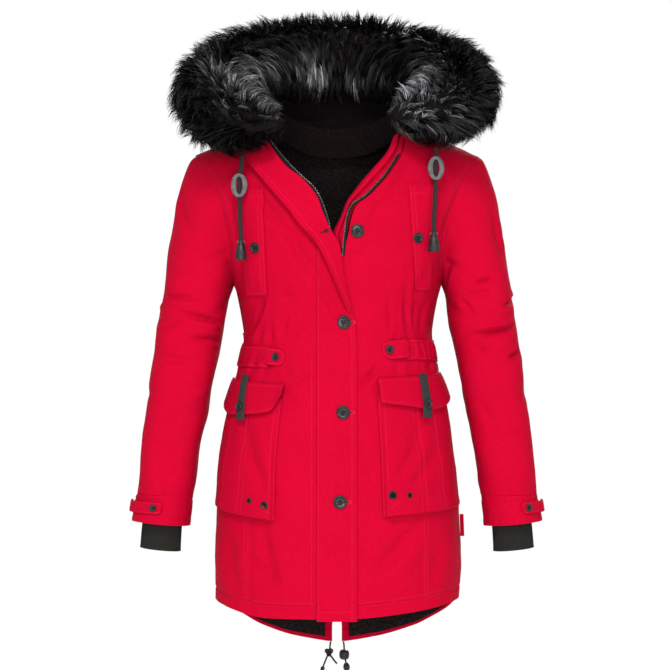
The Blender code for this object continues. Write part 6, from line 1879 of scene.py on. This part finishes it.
# %% [markdown]
# ## Eyelets
# Two metal rings let air and water out of each bellows pocket. A ring is a rolled profile
# turned round its axis, with a dark plate inside it that reads as a hole: painted shade.

# %% Eyelets at the pockets' feet
EYELETS = (
    # pocket, size, angle round the body, height, radius, clearance
    ("right", "small", -38.4, -548.0, 4.2, 0.5), ("right", "large", -29.6, -554.5, 6.4, 0.7),
    ("left", "large", 21.0, -539.0, 6.4, 1.2), ("left", "small", 29.6, -539.5, 4.2, 0.5),
)
# The ring's profile, as a share of the radius and a height in millimetres.
RING_PROFILE = ((0, -0.2), (0.60, -0.2), (0.63, 0.5), (0.72, 1.1), (0.84, 1.15), (0.95, 0.7),
                (1.0, 0.1), (0.9, -0.4), (0, -0.4))
# The dark plate in the ring, painted shade for its hole.
HOLE_SHADE_PROFILE = ((0, 0.12), (0.57, 0.12), (0.60, -0.1), (0, -0.15))
for pocket, size, angle, z, radius, clear in EYELETS:
    row = POCKETS[pocket]
    inner, outer = row["angle"]
    share = np.array((angle - inner) / (outer - inner))
    rise = np.array((z - row["foot"][0]) / (row["top"][0] - row["foot"][0]))
    lift = float(pocket_lift(share, rise)) + FLAP + clear * 0.5 + 1.0
    seat = on_surface(round_point, angle, z, lift, 0.7)
    parts = []
    for profile, steps, finish in ((RING_PROFILE, 32, gunmetal), (HOLE_SHADE_PROFILE, 24, hole_shade_black)):
        points, faces = lathe(np.array(profile) * (radius, 1.0), steps)
        parts.append((stood(points, *seat), faces, finish))
    joined("eyelet_%s_%s" % (pocket, size), parts)
    print("eyelet", pocket, size, "at", np.round(seat[0]))

# %% [markdown]
# ## Cuff tabs
# A tab starts inside the arm, lies round the front of the cuff and snaps on itself. It is an
# arc of the cuff's own rings, so it keeps the cuff's slant, and its end is drawn in to a
# blunt point by narrowing the arc.

# %% Cuff tabs and their snaps
TAB_START, TAB_END = {-1: 88.0, 1: 106.0}, 196.0
TAB_Z, TAB_HALF, TAB_GROW, TAB_TILT = -563.0, 9.5, 2.6, 5.0
SNAP_COLUMN, SNAP_ROW = 9, 8
for sign, side in ((-1, "right"), (1, "left")):
    u, v = np.linspace(0.0, 1.0, 60), closer_at_ends(17)[:, None]
    turn = np.radians(between((TAB_START[sign], TAB_END), u))
    half_height = TAB_HALF * np.sqrt(1.0 - 0.85 * (1.0 - np.clip(u / 0.09, 0.0, 1.0)) ** 2)
    z = TAB_Z + (2 * v - 1) * half_height
    x, y = sleeve_oval(sleeve_sizes(z), turn, TAB_GROW)
    down_cuff = (SLEEVE_END_Z - z) / (SLEEVE_END_Z - CUFF_END_Z)
    points = np.stack([sign * x, y, z + TAB_TILT * down_cuff * 0.5 * (1 - np.cos(turn))], axis=-1)
    out = outward(points, (sign, 0.0, 0.0))
    base = points + out * (LIE + 0.7 + np.clip(5.4 * u - 2.0, 0.0, 3.4))[:, None]
    rim = edge_distance(base)
    puff = FLAP * (0.45 + 0.55 * np.sqrt(1.0 - (1.0 - np.clip(rim / 2.2, 0, 1)) ** 2))
    puff = puff - 0.35 * np.exp(-((rim - 2.6) / 0.8) ** 2)
    face = base + out * puff[..., None]
    wall("cuff_tab_" + side, face, base, red, rests_on=["scene_cuff_" + side])
    for edge in ("first", "last"):
        run_of_stitches(*offset_line(face, out, edge, 2.6, (0.05, 1.0)), pitch=3.2)
    facing = out[SNAP_ROW, SNAP_COLUMN]
    sewn_button("cuff_snap_" + side, face[SNAP_ROW, SNAP_COLUMN] + facing * 0.1, facing, 5.6,
                2.4, 0.4)

# %% [markdown]
# ## Drawcords
# Each cord is a short free end: it comes out of its casing, hangs, and carries what keeps it
# from slipping back. The route is a few given points through a smooth curve. A cord could
# be a curve object with a round bevel; a mesh tube lets the braid be real relief.

# %% Routes of the cords
HOOD_CORD_RADIUS, HEM_CORD_RADIUS = 3.2, 1.3
HOOD_CORD_RIGHT = ((-138, -100, -45.8), (-138.6, -100.2, -54), (-140, -101, -66),
                   (-142, -101, -82), (-142, -103, -100), (-141, -106, -120),
                   (-141, -108, -140), (-140, -110, -158), (-139.5, -111, -172))
HOOD_CORD_LEFT = ((145, -96, -34.4), (145, -96.2, -42), (145, -97, -50), (144, -98, -64),
                  (144, -101, -82), (143, -104, -100), (142, -107, -120), (141, -109, -142),
                  (140.7, -110, -160))
# Radius and height of the bell, from its top, and the places of the oval stops.
BELL = ((0, 0.2), (4.0, 0.2), (4.7, -0.6), (4.9, -3.6), (5.4, -5.2), (6.5, -7.0), (7.6, -13.0),
        (8.5, -20.0), (8.8, -24.0), (8.3, -25.8), (7.2, -26.2), (6.8, -24.5), (0, -24.0))
STOPS = {"right": (-142.4, -108.2, -90.0), "left": (144.2, -104.4, -64.5)}
CORD_STEP = 0.5


def smooth_route(points, spacing):
    """Points at an even spacing along a smooth curve through a route's points."""
    spots = np.asarray(points, float)
    along = lengths_along(spots)
    at = np.linspace(0.0, along[-1], max(int(round(along[-1] / spacing)), 3) + 1)
    return np.stack([curve_through(along, spots[:, k], at) for k in range(3)], axis=-1)


def braid(rings, sides, radius):
    """Relief of a braid: strands cross as two families of helices, and the higher of the
    two waves shows at each place."""
    s = (np.arange(rings) * CORD_STEP / (radius * 2.4))[:, None] * 2 * math.pi
    t = np.linspace(0.0, 2 * math.pi, sides, endpoint=False)[None, :]
    return 0.93 + 0.09 * np.maximum(np.sin(4 * t + s), np.sin(4 * t - s))


def cord(name, route, radius, sides):
    """A braided cord along a route: its piece and its line of points."""
    line = smooth_route(route, CORD_STEP)
    tube = rope(line, radius, sides, braid(len(line), sides, radius))
    return joined(name, [(*tube, cord_cloth)], sharp=80.0), line


# %% Bell ends and oval stops
PLATE_STEPS, PLATE_SIDES = 64, 16
PLATE_HOLE, PLATE_RIM, PLATE_HALF, PLATE_LEAN = (4.4, 12.6), (12.0, 18.0), 1.5, 8.0


def bell_end(name, end):
    """A bell with four shallow grooves down its side and two crossed bars on its cap."""
    points, faces = lathe(BELL, 36)
    side = (points[:, 2] > -20) & (points[:, 2] < -1)
    groove = np.cos(4 * np.arctan2(points[:, 1], points[:, 0])) ** 8
    points[:, :2] *= (1.0 - 0.07 * groove * side)[:, None]
    parts = [(points + end, faces, button_grey)]
    at = np.linspace(-1, 1, 9)
    for way in (0.0, math.pi / 2):
        bar = np.stack([5.4 * at * math.cos(way), 5.4 * at * math.sin(way),
                        1.2 - 2.4 * at ** 4], axis=-1)
        points, faces = rope(bar, 1.3, 8)
        parts.append((points + end, faces, stop_grey))
    return joined(name, parts)


def oval_stop(name, centre):
    """An oval plate with an oval hole: a rounded square section carried round an ellipse
    whose half axes go from the hole's to the rim's."""
    t = np.linspace(0.0, 2 * math.pi, PLATE_STEPS, endpoint=False)[:, None]
    s = np.linspace(0.0, 2 * math.pi, PLATE_SIDES, endpoint=False)[None, :]
    mix = 0.5 + 0.5 * np.sign(np.cos(s)) * np.abs(np.cos(s)) ** 0.6
    wide, tall = (between((hole, rim), mix) for hole, rim in zip(PLATE_HOLE, PLATE_RIM))
    thick = PLATE_HALF * np.sign(np.sin(s)) * np.abs(np.sin(s)) ** 0.6
    plate = np.stack(np.broadcast_arrays(wide * np.cos(t), tall * np.sin(t), thick), axis=-1)
    r, c = (part.ravel() for part in np.meshgrid(np.arange(PLATE_STEPS),
                                                 np.arange(PLATE_SIDES), indexing="ij"))
    e, d = (r + 1) % PLATE_STEPS, (c + 1) % PLATE_SIDES
    quads = np.stack([r * PLATE_SIDES + c, e * PLATE_SIDES + c, e * PLATE_SIDES + d,
                      r * PLATE_SIDES + d], axis=1)
    lean = math.radians(PLATE_LEAN)
    facing = np.array([0.0, -math.cos(lean), math.sin(lean)])
    return joined(name, [(stood(plate.reshape(-1, 3), centre, facing), quads.tolist(),
                          stop_grey)])


# %% Hood cords
for side, route in (("right", HOOD_CORD_RIGHT), ("left", HOOD_CORD_LEFT)):
    piece, line = cord("hood_cord_" + side, route, HOOD_CORD_RADIUS, 24)
    bell = bell_end("cord_end_" + side, line[-1] - (0.0, 0.0, 0.3))
    stop = oval_stop("cord_stop_" + side, STOPS[side])

# %% Hem cords with a knot and a toggle
HEM_CORD_RIGHT = ((-10.0, 163.8, -788.5), (-10.6, 163, -793), (-11.2, 162.5, -799),
                  (-13.0, 162.3, -806), (-17.5, 162.0, -817), (-21.0, 161.7, -826),
                  (-23.6, 161.5, -834))
HEM_CORD_LEFT = ((10.2, 163.8, -788.5), (11.0, 163, -794), (11.3, 162.5, -800),
                 (11.8, 162.4, -808), (13.6, 162.2, -819), (15.0, 162.0, -828),
                 (15.5, 161.8, -834.5))
KNOT_AT, TOGGLE_AT = (-12.6, 162.3, -805.0), (11.4, 162.4, -801.0)
TAIL = ((-12.0, 161.5, -808), (-8.0, 160.5, -813), (-3.0, 160.0, -819.5), (0.0, 160.0, -823.0))
TOGGLE = ((0, 0.0), (3.6, -0.2), (6.0, -1.2), (7.6, -4.0), (8.0, -8.0), (7.6, -12.0),
          (6.0, -14.8), (3.4, -15.9), (0, -16.0))


def tip_of(line, count, least, swell, span, sides):
    """A moulded tip over a cord's last points: a tube that swells as a sine and closes."""
    radius = least + swell * np.sin(np.linspace(*span, count))
    return (*rope(line[-count:], radius, sides), button_grey)


piece, line = cord("hem_cord_right", HEM_CORD_RIGHT, HEM_CORD_RADIUS, 12)
t = np.linspace(0.0, 2 * math.pi, 90)
trefoil = np.stack([(np.sin(t) + 2 * np.sin(2 * t)) * 1.9, -np.sin(3 * t) * 1.7,
                    (np.cos(t) - 2 * np.cos(2 * t)) * 1.9], axis=-1)
knot = joined("hem_knot_right", [(*rope(trefoil + KNOT_AT, 1.7, 10), cord_cloth)])
tail = joined("hem_tail_right", [(*rope(smooth_route(TAIL, 0.6), 1.4, 10), cord_cloth)])
tip = joined("hem_tip_right", [tip_of(line, 14, 2.1, 1.2, (0.2, 2.9), 14)])
piece, line = cord("hem_cord_left", HEM_CORD_LEFT, HEM_CORD_RADIUS, 12)
points, faces = lathe(TOGGLE, 28)
toggle = joined("hem_toggle_left", [(points + TOGGLE_AT, faces, button_grey),
                                    tip_of(line, 26, 1.9, 3.4, (0.25, 2.8), 18)])

# %% [markdown]
# ## Zip teeth
# The teeth are moulded blocks clamped on the tape's edge, 2.3 mm apart. One block of ten
# faces is placed again and again along the edge, every second one a little further in, as
# the two rows of a zip stand.

# %% Zip teeth
TOOTH = np.array([[-1.0, -0.55, 0], [1.0, -0.55, 0], [1.0, 0.55, 0], [-1.0, 0.55, 0],
                  [-0.9, -0.45, 0.8], [0.8, -0.45, 0.9], [0.8, 0.45, 0.9], [-0.9, 0.45, 0.8],
                  [-0.3, -0.3, 1.15], [0.5, -0.3, 1.2], [0.5, 0.3, 1.2], [-0.3, 0.3, 1.15]])
TOOTH_FACES = ((0, 3, 2, 1), (0, 1, 5, 4), (1, 2, 6, 5), (2, 3, 7, 6), (3, 0, 4, 7),
               (4, 5, 9, 8), (5, 6, 10, 9), (6, 7, 11, 10), (7, 4, 8, 11), (8, 9, 10, 11))
for side, table, lift, inward in (("right", RIGHT_TEETH, LIE + 1.9, 1.6),
                                  ("left", LEFT_TEETH, LIE + 1.7, -1.2)):
    rows = np.array(table, float)
    route = np.stack([rows[:, 1] + inward, np.zeros(len(rows)), rows[:, 0]], axis=-1)
    line = smooth_route(route, 2.3)
    points = front_point(line[:, 0], line[:, 2])
    out = analytic_normals(front_point, line[:, 0], line[:, 2])
    seat = points + out * (body_relief(points) + lift)[:, None]
    ahead = unit(np.gradient(seat, axis=0))
    across = np.cross(out, ahead)
    alternate = np.where(np.arange(len(seat)) % 2 == 0, 0.35, -0.35)[:, None]
    blocks = (seat[:, None] + (across * alternate)[:, None]
              + TOOTH[None, :, :1] * 0.85 * across[:, None] + TOOTH[None, :, 1:2] * ahead[:, None]
              + TOOTH[None, :, 2:3] * out[:, None])
    faces = (np.arange(len(seat))[:, None, None] * len(TOOTH)
             + np.array(TOOTH_FACES)[None]).reshape(-1, 4)
    solid("zip_teeth_" + side, blocks.reshape(-1, 3), faces.tolist(), bright_metal, 30.0)
    print("zip teeth", side, len(seat))

# %% [markdown]
# ## Buttonholes
# A buttonhole is a slit with satin stitch round it, here the same stitches as along a seam,
# set across an oval; the slit itself is a thin black rope, painted shade of the cut. The
# turned flap carries two, and the flap one beside each button.

# %% Buttonholes
# Row and column of each hole on the turned flap, and whether its thread is dark.
TURNED_HOLES = ((86, 9, False), (41, 8, True))
HOLE_STITCHES, HOLE_HALF_WIDTH = 46, 1.5


def buttonhole(name, spot, along, normal, long, dark=False):
    """A slit with satin stitch round it: stitches across an oval's line, joined, and a black
    rope along the slit as its painted shade.
    """
    along = unit(along - normal * float(along @ normal))
    across = np.cross(normal, along)
    t = np.linspace(0.0, 2 * math.pi, HOLE_STITCHES, endpoint=False)
    ring = (spot + np.outer(0.5 * long * np.sign(np.cos(t)) * np.abs(np.cos(t)) ** 0.7, along)
            + np.outer(HOLE_HALF_WIDTH * np.sin(t), across))
    away = unit(np.outer(np.cos(t) * 0.4, along) + np.outer(np.sin(t), across))
    STITCH_ROWS.append((ring + normal * 0.2, away, np.tile(normal, (HOLE_STITCHES, 1)),
                        np.full(HOLE_STITCHES, float(dark))))
    # The slit is a thin black rope on the cloth: painted shade of the cut.
    slit = spot + normal * 0.35 + np.outer(np.linspace(-1, 1, 9), along * 0.42 * long)
    joined(name, [(*rope(slit, 0.55, 8), hole_shade_black)])


grid, out = turned
for number, (row, at, dark) in enumerate(TURNED_HOLES):
    buttonhole("buttonhole_%d" % number, grid[row, at], grid[row, at + 2] - grid[row, at],
               out[row, at], 17.0, dark)
for number, (x, z) in enumerate(FRONT_BUTTONS):
    spot, normal = on_surface(front_point, x + 11.5, z, LIE + 0.5 + FLAP)
    buttonhole("flap_buttonhole_%d" % number, spot, np.array([1.0, 0.0, 0.0]), normal, 9.0)
print("buttonholes:", len(TURNED_HOLES) + len(FRONT_BUTTONS))

# %% [markdown]
# ## The side label
# A small folded tab of the shell's own cloth stands out of the left side seam. It is bare.

# %% The bare side label
LABEL_LOW, LABEL_TOP, LABEL_REACH, LABEL_THICK = -609.0, -576.0, 6.0, 1.2
u, v = np.linspace(0.0, 1.0, 10)[None, :], np.linspace(0.0, 1.0, 24)[:, None]
z = between((LABEL_LOW, LABEL_TOP), v)
x = column(BODY, BODY_NAMES, "right", z) + 0.5 + LABEL_REACH * u
y = -0.6 - 0.8 * np.sin(3.0 * u) * np.sin(math.pi * v)
points = np.stack(np.broadcast_arrays(x, y, z), axis=-1)
wall("side_label", points, points + (0.0, LABEL_THICK, 0.0), red, sheet=False)
print("label %.0f mm high" % (LABEL_TOP - LABEL_LOW))

# %% [markdown]
# ## Topstitching
# Thread shows wherever two layers meet: along seams, hems and pocket edges. Each stitch is a
# short raised bead of thread, 2.9 mm long with a gap after it, and all of them are joined
# into a few meshes. The rows on the body itself follow its seams.


# %% Rows along the body's own seams
def body_row(surface, first, second, lift=0.1, span=slice(None)):
    """A row of stitching on the creased body along a line of its parameters."""
    points = surface(first, second)
    out = analytic_normals(surface, first, second)
    line = points + out * (panel_relief(points) + lift)[:, None]
    run_of_stitches(line[span], out[span])


for at, top, low in SEAMS:
    for shift in (3.0, 8.0):
        z = np.linspace(top, low + 18.0, 80)
        body_row(front_point, np.full(80, at + math.copysign(shift, at)), z)
z = np.linspace(-345.0, -702.0, 240)
body_row(front_point, np.full(240, -FLAP_HALF - 7.5), z)
for surface, hem, inner, outer, count in ((front_point, FRONT_HEM, 30.0, 178.0, 120),
                                          (back_point, BACK_HEM, 14.0, 176.0, 140)):
    for ends in ((-outer, -inner), (inner, outer)):
        x = np.linspace(*ends, count)
        for rise in (17.0, 22.5):
            body_row(surface, x, along_line(hem, x) + rise)
for sign in (-1, 1):
    arm_x, arm_z = armhole_points(sign, 90)
    for inset in (3.0, 8.0):
        for surface in (front_point, back_point):
            body_row(surface, arm_x - sign * inset, arm_z, 0.3, slice(4, 84))
    grid, out = SLEEVES[sign]
    seam_at = int(len(grid[0]) * 0.64)
    for at in (seam_at, seam_at + 1.6):
        run_of_stitches(*column_line(grid, out, at, (0.32, 1.0)))
print("rows of stitching:", len(STITCH_ROWS))

# %% The stitches themselves
BEAD = np.array([[-1.45, 0, 0.05], [-0.9, -0.34, 0.12], [-0.9, 0.34, 0.12], [-0.9, 0, 0.42],
                 [0.9, -0.34, 0.12], [0.9, 0.34, 0.12], [0.9, 0, 0.42], [1.45, 0, 0.05]])
BEAD_FACES = np.array([(0, 1, 3), (0, 3, 2), (0, 2, 1), (1, 4, 6), (1, 6, 3), (3, 6, 5),
                       (3, 5, 2), (2, 5, 4), (2, 4, 1), (7, 6, 4), (7, 5, 6), (7, 4, 5)])
spots, ways, facings, shades = (np.concatenate([row[k] for row in STITCH_ROWS])
                                for k in range(4))
chance = np.random.default_rng(20251125)
sides = unit(np.cross(facings, ways))
ways = ways + sides * chance.normal(0.0, 0.05, len(ways))[:, None]
grow = chance.uniform(0.85, 1.12, len(spots))[:, None, None]
beads = (spots[:, None] + grow * (BEAD[None, :, :1] * ways[:, None]
         + BEAD[None, :, 1:2] * sides[:, None] + BEAD[None, :, 2:3] * facings[:, None]))
for name, chosen, finish in (("stitching", shades < 0.5, thread),
                             ("dark_stitching", shades >= 0.5, dark_thread)):
    count = int(chosen.sum())
    faces = (np.arange(count)[:, None, None] * len(BEAD) + BEAD_FACES[None]).reshape(-1, 3)
    solid(name, beads[chosen].reshape(-1, 3), faces.tolist(), finish, 89.0)
    print(name, count, "stitches")

# %% [markdown]
# ## Finishing
# Everything is measured once more.

# %% Sizes
print("triangles in the scene:", sum(
    sum(len(p.vertices) - 2 for p in item.data.polygons)
    for item in PIECES.values() if item.type == "MESH"))
